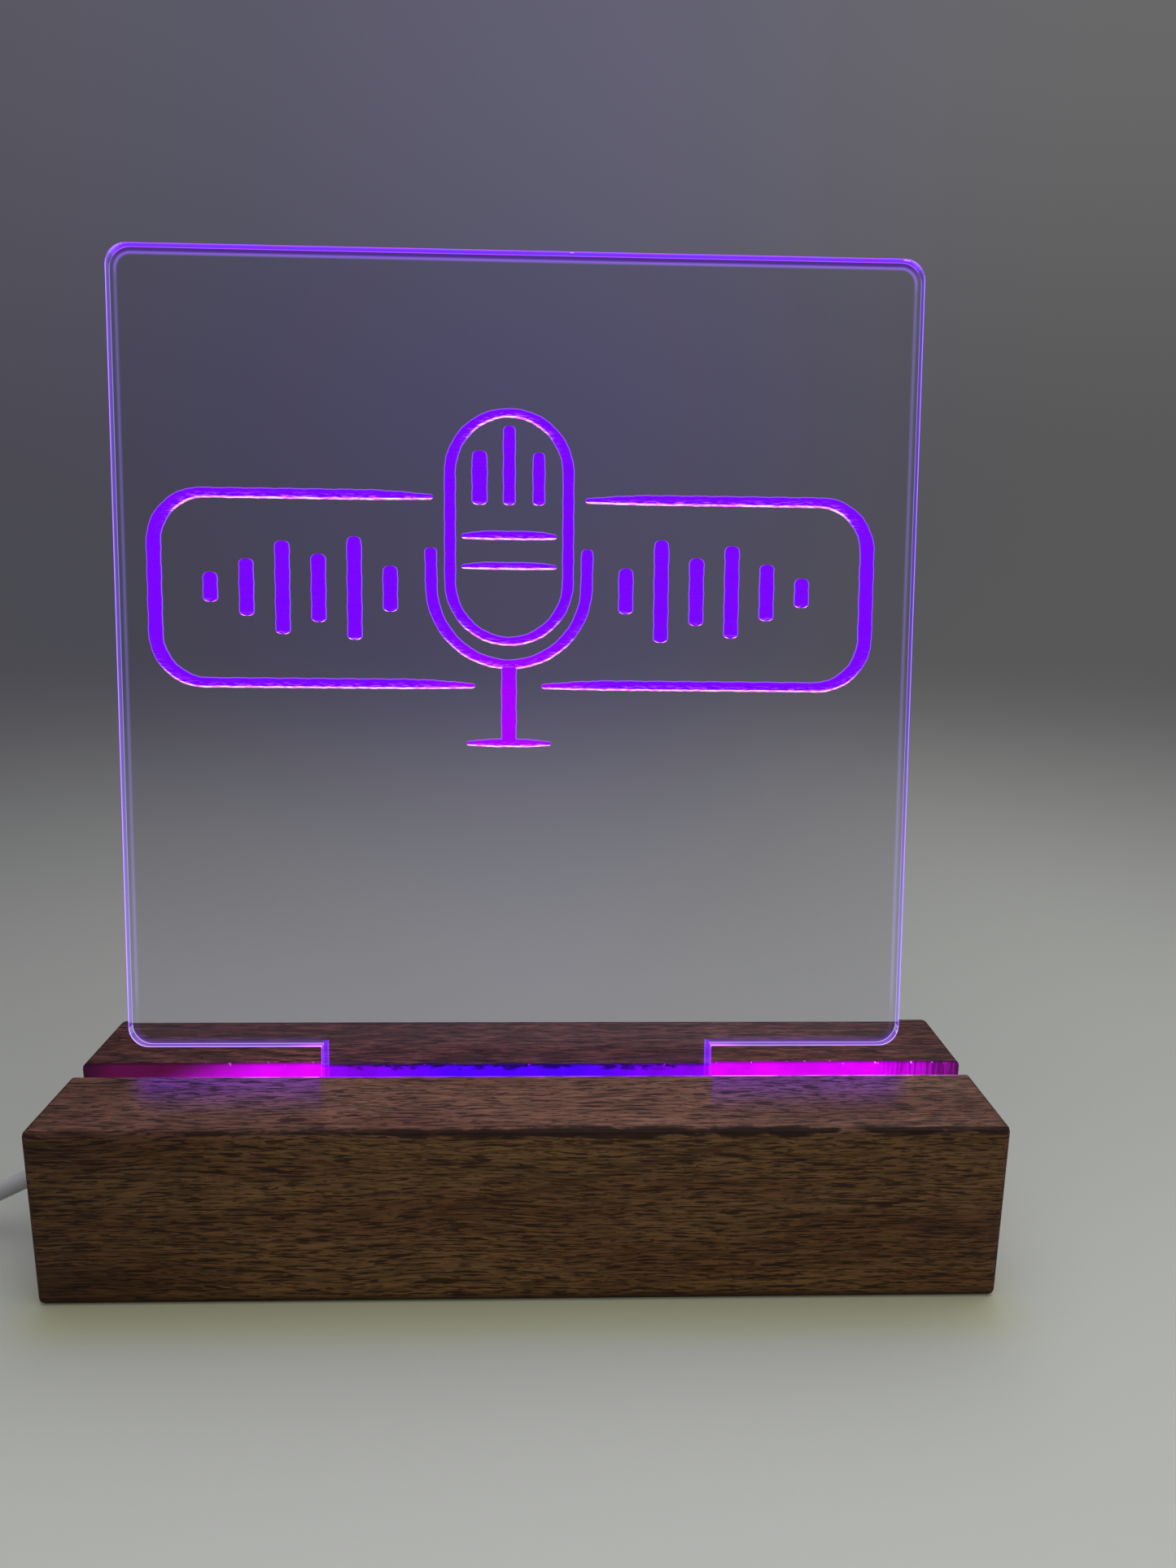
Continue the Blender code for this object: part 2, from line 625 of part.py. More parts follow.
def cords():
    """The lead's jacket: out of the groove to the table, the coil, and on to switch and plug."""
    step = ROUTE_STEP_DIAMETERS * CORD_DIAMETER
    coil, heading, leaving = coil_route()
    level_end_x = CORD_END_X + (BASE_END_X - CORD_END_X) * CORD_LEVEL_SHARE
    in_groove = [
        (CORD_END_X, 0.0, CORD_END_Z),
        (level_end_x, 0.0, CORD_END_Z),
        (BASE_END_X, 0.0, SLOT_FLOOR + FIT_GAP + CORD_RADIUS),
    ]
    droop = [(BASE_END_X + x, y, z) for x, y, z in DROOP_ROUTE]
    run_end = coil[0] - heading * FIT_GAP
    run_knots = [*in_groove, *droop, run_end - heading * step, run_end - heading * CORD_DIAMETER]
    run = smooth_route([*run_knots, run_end], step)
    tail_start = coil[-1] + leaving * FIT_GAP
    entry = Vector((*SWITCH_ENTRY, SWITCH_SPLIT))
    inward = Vector((-CORD_GRIP_DEPTH, 0.0, 0.0))
    tail_end = entry + inward
    clear_of_coil = [tail_start, tail_start + leaving * CORD_DIAMETER, tail_start + leaving * step]
    tail = smooth_route([*clear_of_coil, *TAIL_ROUTE, entry - inward, entry, tail_end], step)
    out = Vector((SWITCH_FAR_X, SWITCH_ENTRY[1], SWITCH_SPLIT))
    plug = Vector((PLUG_CABLE_END[0] - FIT_GAP, PLUG_CABLE_END[1], PLUG_AXIS))
    before_plug = plug - Vector((CORD_DIAMETER, 0.0, 0.0))
    end = smooth_route([out - inward, out, out + inward, *END_ROUTE, before_plug, plug], step)
    tube("cord_run", run, CORD_DIAMETER, CORD_RESOLUTION, CORD)
    tube("cord_coil", coil, CORD_DIAMETER, COIL_RESOLUTION, CORD)
    tube("cord_tail", tail, CORD_DIAMETER, CORD_RESOLUTION, CORD)
    tube("cord_end", end, CORD_DIAMETER, CORD_RESOLUTION, CORD)
    lengths = [route_length(points) for points in (run, coil, tail, end)]
    print("least gap of the coil to itself, mm:", round(least_gap(coil) * 1000, 2))
    print("lead's stretches and whole length, m:", [round(x, 3) for x in lengths], round(sum(lengths), 3))
    return run


def switch_half(name, direction, carrier):
    """One moulded half of the switch's case: an open shell with half a collar at each end."""
    rim = FIT_GAP / 2

    def ring(inset, level):
        outline = rounded_rectangle(
            SWITCH_LENGTH - 2 * inset,
            SWITCH_WIDTH - 2 * inset,
            SWITCH_CORNER_RADIUS - inset,
            SMALL_CORNER_STEPS,
        )
        return [(spot.x, spot.y, direction * level) for spot in outline]

    ceiling = ring(SWITCH_WALL, SWITCH_SPLIT - SWITCH_WALL)
    rings = [ceiling, ring(SWITCH_WALL, rim), ring(0.0, rim)]
    for step in range(EDGE_STEPS + 1):
        turn = math.pi / 2 * step / EDGE_STEPS
        inset = SWITCH_EDGE_RADIUS * (1.0 - math.cos(turn))
        level = SWITCH_SPLIT - SWITCH_EDGE_RADIUS * (1.0 - math.sin(turn))
        rings.append(ring(inset, level))
    half = place(name, loft(rings), SWITCH_PLASTIC, carrier)
    half_sides = ROUND_SIDES // 2
    turns = [math.pi * i / half_sides for i in range(half_sides + 1)]
    arc = [
        (COLLAR_RADIUS * math.cos(turn), direction * (rim + (COLLAR_RADIUS - rim) * math.sin(turn)))
        for turn in turns
    ]
    root = SWITCH_LENGTH / 2 - SWITCH_WALL / 2
    for side in (1.0, -1.0):
        profile = [(side * root, y, z) for y, z in arc]
        collar_form = prism(profile, (side * (SWITCH_REACH - root), 0.0, 0.0))
        collar = cutting_tool(f"{name}_collar_{int(side)}", collar_form, carrier)
        combine(half, collar, "UNION")
    for side in (1.0, -1.0):
        start = (side * (SWITCH_LENGTH / 2 - 2 * SWITCH_WALL), 0.0, 0.0)
        finish = (side * (SWITCH_REACH + CUT_OVERRUN), 0.0, 0.0)
        bore_form = rod(COLLAR_BORE, start, finish, ROUND_SIDES)
        bore = cutting_tool(f"{name}_bore_{int(side)}", bore_form, carrier)
        combine(half, bore, "DIFFERENCE")
    return half


def switch_case(carrier):
    """The two halves: the upper one has the rocker's window and the two cheeks that carry it."""
    switch_half("switch_case_lower", -1.0, carrier)
    upper = switch_half("switch_case_upper", 1.0, carrier)
    swing = ROCKER_LENGTH / 2 * math.cos(ROCKER_TILT) + PIVOT_DROP * math.sin(ROCKER_TILT)
    window_length = 2 * (swing + FIT_GAP)
    window_width = ROCKER_WIDTH + 2 * FIT_GAP
    window_depth = 2 * (SWITCH_WALL + CUT_OVERRUN)
    window_form = box(window_length, window_width, window_depth, (0.0, 0.0, SWITCH_SPLIT))
    combine(upper, cutting_tool("rocker_window", window_form, carrier), "DIFFERENCE")
    cheek_top = SWITCH_SPLIT - SWITCH_WALL / 2
    cheek_bottom = PIVOT_LEVEL - TRUNNION_RADIUS - TRUNNION_GAP - CHEEK_THICKNESS
    cheek_height = cheek_top - cheek_bottom
    for side in (1.0, -1.0):
        centre = (0.0, side * (window_width + CHEEK_THICKNESS) / 2, (cheek_top + cheek_bottom) / 2)
        cheek_form = box(CHEEK_LENGTH, CHEEK_THICKNESS, cheek_height, centre)
        combine(upper, cutting_tool(f"cheek_{int(side)}", cheek_form, carrier), "UNION")
    reach = window_width / 2 + CHEEK_THICKNESS + FIT_GAP
    seat_radius = TRUNNION_RADIUS + TRUNNION_GAP
    seat_form = rod(seat_radius, (0.0, -reach, PIVOT_LEVEL), (0.0, reach, PIVOT_LEVEL), ROUND_SIDES)
    combine(upper, cutting_tool("trunnion_seats", seat_form, carrier), "DIFFERENCE")


def switch_rocker(carrier):
    """The rocker on its two trunnions, tilted to on, and the brass bridge under its lowered end."""
    half = ROCKER_LENGTH / 2
    corners = [
        (-half, -ROCKER_DROP),
        (half, -ROCKER_DROP),
        (half, ROCKER_RISE),
        (0.0, ROCKER_RISE - ROCKER_DIP),
        (-half, ROCKER_RISE),
    ]
    radii = [0.0, 0.0, ROCKER_EDGE_RADIUS, ROCKER_DISH_RADIUS, ROCKER_EDGE_RADIUS]
    side_y = -ROCKER_WIDTH / 2
    outline = [(x, side_y, z) for x, z in filleted(corners, radii, SMALL_CORNER_STEPS)]
    rocker = place("switch_rocker", prism(outline, (0.0, ROCKER_WIDTH, 0.0)), SWITCH_PLASTIC, carrier)
    rocker.location = (0.0, 0.0, PIVOT_LEVEL)
    rocker.rotation_euler = (0.0, -ROCKER_TILT, 0.0)
    reach = ROCKER_WIDTH / 2 + FIT_GAP + TRUNNION_LENGTH
    trunnion_form = rod(TRUNNION_RADIUS, (0.0, -reach, 0.0), (0.0, reach, 0.0), ROUND_SIDES)
    combine(rocker, cutting_tool("trunnions", trunnion_form, rocker), "UNION")
    bridge_form = box(BRIDGE_WIDTH, BRIDGE_LENGTH, BRIDGE_THICKNESS, (0.0, 0.0, 0.0))
    bridge = place("switch_bridge", bridge_form, BRASS, rocker)
    bridge.location = (-BRIDGE_FROM_PIVOT, 0.0, -ROCKER_DROP - FIT_GAP - BRIDGE_THICKNESS / 2)


def switch_terminals(carrier):
    """Two bent brass strips that the bridge joins, and the cores that lead to them."""
    floor = SWITCH_WALL + FIT_GAP - SWITCH_SPLIT
    corner_x = BRIDGE_FROM_PIVOT + BRIDGE_WIDTH / 2
    below = ROCKER_DROP + FIT_GAP + BRIDGE_THICKNESS
    lowest = PIVOT_LEVEL - below * math.cos(ROCKER_TILT) - corner_x * math.sin(ROCKER_TILT)
    top = lowest - FIT_GAP
    riser = below * math.sin(ROCKER_TILT) - BRIDGE_FROM_PIVOT * math.cos(ROCKER_TILT)
    step = floor + TERMINAL_THICKNESS
    core_level = step + FIT_GAP + CORE_DIAMETER / 2
    cord_face = SWITCH_REACH - CORD_GRIP_DEPTH - FIT_GAP
    core_step = ROUTE_STEP_DIAMETERS * CORE_DIAMETER
    for name, side in (("in", 1.0), ("out", -1.0)):
        y = side * TERMINAL_SPACING / 2
        foot = riser + side * TERMINAL_REACH
        near = riser - side * TERMINAL_THICKNESS / 2
        far = riser + side * TERMINAL_THICKNESS / 2
        profile = [(near, floor), (foot, floor), (foot, step), (far, step), (far, top), (near, top)]
        outline = [(x, y - TERMINAL_WIDTH / 2, z) for x, z in profile]
        strip = prism(outline, (0.0, TERMINAL_WIDTH, 0.0))
        place(f"switch_terminal_{name}", strip, BRASS, carrier)
        start_x = side * cord_face
        core_y = CORE_SPACING / 2
        core_end = foot - side * TERMINAL_LAP
        level = (foot - start_x) * SWITCH_CORE_LEVEL_SHARE
        knots = [
            (start_x, core_y, 0.0),
            (start_x + level, core_y, 0.0),
            (core_end - level, y, core_level),
            (core_end, y, core_level),
        ]
        points = smooth_route(knots, core_step)
        tube(f"switch_core_{name}", points, CORE_DIAMETER, CORE_RESOLUTION, RED, carrier)
    through_y = -CORE_SPACING / 2
    wall_y = SWITCH_WALL + CORE_DIAMETER - SWITCH_WIDTH / 2
    low = floor + CORE_DIAMETER
    level_x = cord_face - 2 * cord_face * THROUGH_CORE_LEVEL_SHARE
    aside_x = cord_face - 2 * cord_face * THROUGH_CORE_ASIDE_SHARE
    knots = [
        (cord_face, through_y, 0.0),
        (level_x, through_y, 0.0),
        (aside_x, wall_y, low),
        (-aside_x, wall_y, low),
        (-level_x, through_y, 0.0),
        (-cord_face, through_y, 0.0),
    ]
    points = smooth_route(knots, core_step)
    tube("switch_core_through", points, CORE_DIAMETER, CORE_RESOLUTION, BLACK, carrier)


def inline_switch():
    """The switch on the lead, all its pieces placed from the middle of its case."""
    carrier = link("inline_switch", None)
    carrier.location = SWITCH_CENTRE
    switch_case(carrier)
    switch_rocker(carrier)
    switch_terminals(carrier)


def across_rings(stations):
    """Lofts rounded rectangles that stand across the X axis: (x, width, height, radius) stations."""
    rings = []
    for x, width, height, radius in stations:
        outline = rounded_rectangle(width, height, radius, SMALL_CORNER_STEPS)
        rings.append([(x, spot.x, spot.y) for spot in outline])
    return loft(rings)


def plug_grip(front, carrier):
    """The moulded grip: a ribbed relief round the lead, a shoulder, and a pocket for the shell."""
    stations = []
    rib = RELIEF_LENGTH / (2 * RELIEF_RIBS)
    for i in range(RELIEF_RIBS):
        for start, radius in ((0, RELIEF_RADIUS), (1, RELIEF_RADIUS - RELIEF_GROOVE_DEPTH)):
            x = (2 * i + start) * rib
            stations.append((x, 2 * radius, 2 * radius, radius * RELIEF_ROUND_SHARE))
            stations.append((x + rib, 2 * radius, 2 * radius, radius * RELIEF_ROUND_SHARE))
    neck = 2 * RELIEF_RADIUS
    eased = (GRIP_WIDTH - 2 * GRIP_EASE, GRIP_HEIGHT - 2 * GRIP_EASE, GRIP_CORNER_RADIUS - GRIP_EASE)
    stations += [
        (RELIEF_LENGTH, neck, neck, RELIEF_RADIUS * RELIEF_ROUND_SHARE),
        (RELIEF_LENGTH + GRIP_SHOULDER, GRIP_WIDTH, GRIP_HEIGHT, GRIP_CORNER_RADIUS),
        (front - GRIP_EASE, GRIP_WIDTH, GRIP_HEIGHT, GRIP_CORNER_RADIUS),
        (front, *eased),
    ]
    grip = place("plug_grip", across_rings(stations), PLUG_PLASTIC, carrier)
    pocket = (SHELL_WIDTH + 2 * FIT_GAP, SHELL_HEIGHT + 2 * FIT_GAP, SHELL_CORNER_RADIUS + FIT_GAP)
    pocket_back = front - SHELL_SEAT - FIT_GAP
    pocket_form = across_rings([(pocket_back, *pocket), (front + CUT_OVERRUN, *pocket)])
    combine(grip, cutting_tool("grip_pocket", pocket_form, carrier), "DIFFERENCE")


def plug_shell(back, mouth, carrier):
    """The folded metal shell, open at both ends, with two latch windows through its top and bottom."""
    outer = (SHELL_WIDTH, SHELL_HEIGHT, SHELL_CORNER_RADIUS)
    inner = tuple(size - 2 * SHELL_WALL for size in outer[:2]) + (SHELL_CORNER_RADIUS - SHELL_WALL,)
    shell = place("plug_shell", across_rings([(back, *outer), (mouth, *outer)]), STEEL, carrier)
    cavity_form = across_rings([(back - CUT_OVERRUN, *inner), (mouth + CUT_OVERRUN, *inner)])
    combine(shell, cutting_tool("shell_cavity", cavity_form, carrier), "DIFFERENCE")
    window_height = SHELL_HEIGHT + 2 * CUT_OVERRUN
    for side in (1.0, -1.0):
        centre = (mouth - LATCH_FROM_MOUTH, side * LATCH_SPACING / 2, 0.0)
        window_form = box(LATCH_SIZE, LATCH_SIZE, window_height, centre)
        window = cutting_tool(f"latch_window_{int(side)}", window_form, carrier)
        combine(shell, window, "DIFFERENCE")


def plug_tongue(back, mouth, carrier):
    """The moulded tongue that fills the shell's rear and carries the four contacts on its blade."""
    inner_width = SHELL_WIDTH - 2 * SHELL_WALL
    inner_height = SHELL_HEIGHT - 2 * SHELL_WALL
    width = inner_width - 2 * FIT_GAP
    bottom = -inner_height / 2 + FIT_GAP
    block_top = inner_height / 2 - FIT_GAP
    blade_top = bottom + TONGUE_THICKNESS
    blade_end = mouth - TONGUE_SETBACK
    block_end = back + TONGUE_BLOCK_LENGTH
    profile = [
        (back, bottom),
        (blade_end, bottom),
        (blade_end, blade_top),
        (block_end, blade_top),
        (block_end, block_top),
        (back, block_top),
    ]
    outline = [(x, -width / 2, z) for x, z in profile]
    place("plug_tongue", prism(outline, (0.0, width, 0.0)), TONGUE, carrier)
    for i, across in enumerate(CONTACT_SPACINGS):
        is_outer = i in (0, len(CONTACT_SPACINGS) - 1)
        length = CONTACT_OUTER_LENGTH if is_outer else CONTACT_INNER_LENGTH
        contact_form = box(length, CONTACT_WIDTH, CONTACT_THICKNESS, (0.0, 0.0, 0.0))
        contact = place(f"plug_contact_{i + 1}", contact_form, GOLD, carrier)
        lift = blade_top + FIT_GAP + CONTACT_THICKNESS / 2
        contact.location = (block_end + FIT_GAP + length / 2, across, lift)


def plug():
    """The plug, all its pieces placed from the middle of its cable end."""
    carrier = link("plug", None)
    carrier.location = (*PLUG_CABLE_END, PLUG_AXIS)
    front = RELIEF_LENGTH + GRIP_LENGTH
    back = front - SHELL_SEAT
    mouth = front + SHELL_LENGTH
    plug_grip(front, carrier)
    plug_shell(back, mouth, carrier)
    plug_tongue(back, mouth, carrier)


clear_scene()
TOOL_MATERIAL = make_material("tool", (0.5, 0.5, 0.5), 0.5)
WOOD = make_material("stained_beech", (0.16, 0.085, 0.045), 0.6)
ACRYLIC = make_material("clear_acrylic", (0.75, 0.72, 0.85), 0.05)
TAPE = make_material("foam_tape", (0.80, 0.80, 0.78), 0.8)
CIRCUIT = make_material("strip_circuit_film", (0.85, 0.85, 0.83), 0.4)
CHIP = make_material("led_package", (0.90, 0.88, 0.80), 0.35)
RESISTOR = make_material("resistor_body", (0.03, 0.03, 0.035), 0.5)
SOLDER = make_material("solder", (0.62, 0.62, 0.64), 0.3, 1.0)
RED = make_material("red_insulation", (0.55, 0.03, 0.03), 0.45)
BLACK = make_material("black_insulation", (0.02, 0.02, 0.02), 0.45)
SLEEVE = make_material("shrink_sleeve_plastic", (0.03, 0.03, 0.03), 0.5)
HOT_MELT = make_material("hot_melt", (0.80, 0.78, 0.70), 0.3)
CORD = make_material("cord_jacket", (0.72, 0.72, 0.75), 0.45)
SWITCH_PLASTIC = make_material("switch_plastic", (0.74, 0.74, 0.76), 0.4)
BRASS = make_material("brass", (0.70, 0.52, 0.22), 0.3, 1.0)
PLUG_PLASTIC = make_material("plug_plastic", (0.74, 0.74, 0.76), 0.45)
STEEL = make_material("plated_steel", (0.70, 0.70, 0.72), 0.25, 1.0)
TONGUE = make_material("tongue_plastic", (0.85, 0.85, 0.85), 0.4)
GOLD = make_material("gold_plate", (0.80, 0.62, 0.25), 0.25, 1.0)

PANEL_LEAN = lean_angle()
print("panel's lean, degrees:", round(math.degrees(PANEL_LEAN), 3))
wood_base()
acrylic_panel(PANEL_LEAN)
led_strip()
strip_connection(cords())
inline_switch()
plug()
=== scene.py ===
"""Looks of the edge-lit acrylic desk sign: stained block, LED strip, lead, switch, plug, engraved panel."""

import math

import bpy
import numpy as np
from mathutils import Matrix, Vector


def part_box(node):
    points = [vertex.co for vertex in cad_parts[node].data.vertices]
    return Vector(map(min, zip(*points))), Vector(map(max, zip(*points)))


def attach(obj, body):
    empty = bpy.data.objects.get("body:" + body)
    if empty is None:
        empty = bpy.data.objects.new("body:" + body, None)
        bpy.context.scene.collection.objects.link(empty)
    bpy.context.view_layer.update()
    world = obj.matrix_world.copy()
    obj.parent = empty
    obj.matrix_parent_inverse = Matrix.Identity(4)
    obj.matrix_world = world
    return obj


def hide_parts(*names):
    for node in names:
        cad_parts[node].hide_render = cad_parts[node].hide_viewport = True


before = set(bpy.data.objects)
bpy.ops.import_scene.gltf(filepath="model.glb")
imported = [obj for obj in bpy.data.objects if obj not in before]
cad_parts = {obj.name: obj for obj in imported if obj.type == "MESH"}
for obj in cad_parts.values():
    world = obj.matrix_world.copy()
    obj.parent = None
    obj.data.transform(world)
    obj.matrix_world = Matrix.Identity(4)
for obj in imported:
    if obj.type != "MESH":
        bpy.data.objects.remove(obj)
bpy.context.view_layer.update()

# The camera stands 15 cm in front of the block, at the height of the panel's upper half, and looks
# a little down, as the block's corners and the panel's outline show.
CAMERA_SPOT = (0.0041, -0.1700, 0.1155)
CAMERA_YAW_DEGREES = -1.93
CAMERA_PITCH_DEGREES = -12.19
CAMERA_ROLL_DEGREES = 0.72
LENS_MM = 25.0
FILM_MM = 36.0
NEAREST_SEEN = 0.005

camera_data = bpy.data.cameras.new("camera")
camera_data.lens = LENS_MM
camera_data.sensor_width = FILM_MM
camera_data.clip_start = NEAREST_SEEN
camera = bpy.data.objects.new("camera", camera_data)
camera.matrix_world = (
    Matrix.Translation(CAMERA_SPOT)
    @ Matrix.Rotation(math.radians(CAMERA_YAW_DEGREES), 4, "Z")
    @ Matrix.Rotation(math.radians(90.0 + CAMERA_PITCH_DEGREES), 4, "X")
    @ Matrix.Rotation(math.radians(CAMERA_ROLL_DEGREES), 4, "Z")
)
bpy.context.collection.objects.link(camera)
bpy.context.scene.camera = camera
bpy.context.scene.view_settings.view_transform = "Standard"


# The sign stands on a pale matt table that fades into a grey wall far behind it. Wide soft lamps
# light it from above and in front, and the room's own light comes evenly from all round.
WALL_AT_TABLE = (0.097, 0.097, 0.099, 1.0)
WALL_HIGH = (0.143, 0.142, 0.144, 1.0)
WALL_RISE = (0.04, 0.42)
WALL_SHADE_LEFT = 0.70
WALL_SHADE_ENDS = (-0.35, 0.50)
WALL_GLOW = (0.004, 0.0, 0.050)
TABLE_PALE = (0.476, 0.488, 0.458, 1.0)
TABLE_BOUNCE_AT_FOOT = (0.462, 0.464, 0.305, 1.0)
FOOT_REACH = (0.014, 0.001)
FOOT_ENDS = (0.082, 0.070)
TABLE_BRIGHTEST_AHEAD = 0.12
TABLE_FADE = 0.40
TABLE_FADE_POWER = 1.36
TABLE_SHADE_LEFT = 0.77
TABLE_SHADE_BACK = (-0.08, 0.06)
TABLE_SHADE_SIDE = (0.24, 0.0)
MOTTLE_SCALE = 700.0
TABLE_REACH = 40.0
WOOD_LOW, WOOD_HIGH = (Vector(corner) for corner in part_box("wood_base"))
ROOM_LIGHT = 0.50
LAMPS_AIM = Vector((0.0, 0.0, 0.05))
LAMPS = (
    ("lamp_above", (0.20, 0.19, 0.78), 1.10, 6.3),
    ("lamp_left", (-0.70, -0.60, 0.40), 0.60, 0.4),
    ("lamp_right", (0.75, -0.50, 0.45), 0.60, 0.7),
)


class Value:
    """What a node puts out. A sum with it, such as 1.0 - value * 2.0, adds the Math nodes for it."""

    def __init__(self, socket):
        self.socket = socket

    def __add__(self, other):
        return maths("ADD", self, other)

    def __sub__(self, other):
        return maths("SUBTRACT", self, other)

    def __rsub__(self, other):
        return maths("SUBTRACT", other, self)

    def __mul__(self, other):
        return maths("MULTIPLY", self, other)

    def __truediv__(self, other):
        return maths("DIVIDE", self, other)

    def __pow__(self, power):
        return maths("POWER", self, power)

    def __abs__(self):
        return maths("ABSOLUTE", self)


def fill(node, inputs):
    """Feeds a node's inputs: one that is given a Value or a socket is linked, any other is set."""
    for key, given in inputs.items():
        source = getattr(given, "socket", given)
        if isinstance(source, bpy.types.NodeSocket):
            node.id_data.links.new(source, node.inputs[key])
        else:
            node.inputs[key].default_value = source


def add(tree, kind, inputs=None, **settings):
    """Adds a node to a tree, with those inputs and settings."""
    node = tree.nodes.new("ShaderNode" + kind)
    for name, setting in settings.items():
        setattr(node, name, setting)
    fill(node, inputs or {})
    return node


def worked(kind, inputs, output=0, **settings):
    """Adds a node to the tree of the first Value among its inputs: returns one of its outputs."""
    tree = next(given.socket.id_data for given in inputs.values() if isinstance(given, Value))
    return Value(add(tree, kind, inputs, **settings).outputs[output])


def maths(operation, *inputs, clamp=False):
    """The result of one Math node."""
    return worked("Math", dict(enumerate(inputs)), operation=operation, use_clamp=clamp)


def larger(first, second):
    """The larger of two numbers."""
    return maths("MAXIMUM", first, second)


def fade(value, start, finish, low=0.0, high=1.0, shape="SMOOTHSTEP"):
    """A smooth step, or a straight one, from low, where the value is start, to high, where it is finish."""
    inputs = {"Value": value, 1: start, 2: finish, 3: low, 4: high}
    return worked("MapRange", inputs, interpolation_type=shape)


def mixed(factor, first, second):
    """Two colours mixed by a factor."""
    return worked("Mix", {0: factor, 6: first, 7: second}, 2, data_type="RGBA")


def vectors(operation, *inputs, output="Vector"):
    """The result of one operation on colours or vectors: a Vector, or a Value such as a length."""
    return worked("VectorMath", dict(enumerate(inputs)), output, operation=operation)


def scaled(colour, factor):
    """A colour or vector times a number."""
    return worked("VectorMath", {0: colour, "Scale": factor}, operation="SCALE")


def total(*parts):
    """The sum of several colours or vectors."""
    result = parts[0]
    for part in parts[1:]:
        result = vectors("ADD", result, part)
    return result


def object_spot(tree):
    """Where a point of the surface is, in the object's frame."""
    return Value(add(tree, "TexCoord").outputs["Object"])


def split(vector):
    """The three parts of a vector."""
    return [Value(part) for part in worked("SeparateXYZ", {0: vector}).socket.node.outputs]


def noise(vector, scale, detail, roughness=0.5, output="Fac"):
    """Noise by place: a number from 0 to 1, or a Color."""
    inputs = {"Vector": vector, "Scale": scale, "Detail": detail, "Roughness": roughness}
    return worked("TexNoise", inputs, output)


def bump(height, strength, distance, **more):
    """The normal of a surface that is raised by a height."""
    return worked("Bump", {"Height": height, "Strength": strength, "Distance": distance, **more})


def new_material(name):
    """A material with nodes: returns it, its tree and its Principled shader."""
    material = bpy.data.materials.new(name)
    material.use_nodes = True
    return material, material.node_tree, material.node_tree.nodes["Principled BSDF"]


def new_group(name, inputs, outputs):
    """An empty node group: returns it, what it is given, by name, and its output node."""
    group = bpy.data.node_groups.new(name, "ShaderNodeTree")
    for socket, kind, usual in inputs:
        made = group.interface.new_socket(socket, in_out="INPUT", socket_type="NodeSocket" + kind)
        if usual is not None:
            made.default_value = usual
    for socket, kind in outputs:
        group.interface.new_socket(socket, in_out="OUTPUT", socket_type="NodeSocket" + kind)
    given = group.nodes.new("NodeGroupInput").outputs
    named = {socket: Value(given[socket]) for socket, kind, usual in inputs}
    return group, named, group.nodes.new("NodeGroupOutput")


def use_group(tree, group, inputs):
    """Places a node group in a tree, with its own values: returns what it puts out, by name."""
    made = add(tree, "Group", inputs, node_tree=group).outputs
    return {output.name: Value(output) for output in made}


# The wall's grey by direction: a little lighter upwards, with painted shade to the left and the sign's glow
# painted on it
WALL_TONE, given, result = new_group("wall_tone", [("Direction", "Vector", None)], [("Color", "Color")])
right, away, up = split(given["Direction"])
by_height = mixed(fade(up, *WALL_RISE), WALL_AT_TABLE, WALL_HIGH)
by_side = fade(right, *WALL_SHADE_ENDS, WALL_SHADE_LEFT, 1.0)
glow = fade(right, 0.42, 0.02) * fade(right, -0.50, 0.0, 0.4, 1.0)
glow = glow * fade(away, 0.2, 0.7) * fade(up, -0.12, 0.16, 0.35, 1.0)
fill(result, {"Color": total(scaled(by_height, by_side), scaled(WALL_GLOW, glow))})

# The table is painted darker away from its brightest spot, a painted fall-off of light, and the wall's grey
# takes over by as much
material, tree, shader = new_material("table")
spot = object_spot(tree)
right, away = split(spot)[:2]
distance = vectors("LENGTH", total(spot, (0.0, TABLE_BRIGHTEST_AHEAD, 0.0)), output="Value")
near = maths("EXPONENT", (distance / TABLE_FADE) ** TABLE_FADE_POWER * -1.0)
# Painted shade on the table behind the sign and to its left
shaded = fade(away, *TABLE_SHADE_BACK) * fade(right, *TABLE_SHADE_SIDE)
shade = fade(shaded, 0.0, 1.0, 1.0, TABLE_SHADE_LEFT)
# A painted yellowish tint at the block's front foot stands in for light bounced off the wood
bounce_at_foot = fade(abs(away - WOOD_LOW[1]), *FOOT_REACH) * fade(abs(right), *FOOT_ENDS)
pale = mixed(bounce_at_foot, TABLE_PALE, TABLE_BOUNCE_AT_FOOT)
wall = use_group(tree, WALL_TONE, {"Direction": vectors("NORMALIZE", spot)})["Color"]
table_finish = {
    "Base Color": scaled(pale, shade * near),
    "Roughness": 0.7,
    "Specular IOR Level": 0.0,
    "Emission Color": scaled(wall, 1.0 - near),
    "Emission Strength": 1.0,
    "Normal": bump(noise(spot, MOTTLE_SCALE, 3.0), 0.06, 0.0001),
}
fill(shader, table_finish)

table_mesh = bpy.data.meshes.new("table")
corners = np.array([(-1, -1, 0), (1, -1, 0), (1, 1, 0), (-1, 1, 0)]) * TABLE_REACH
table_mesh.from_pydata(corners.tolist(), [], [(0, 1, 2, 3)])
table_mesh.materials.append(material)
table = bpy.data.objects.new("table", table_mesh)
bpy.context.collection.objects.link(table)

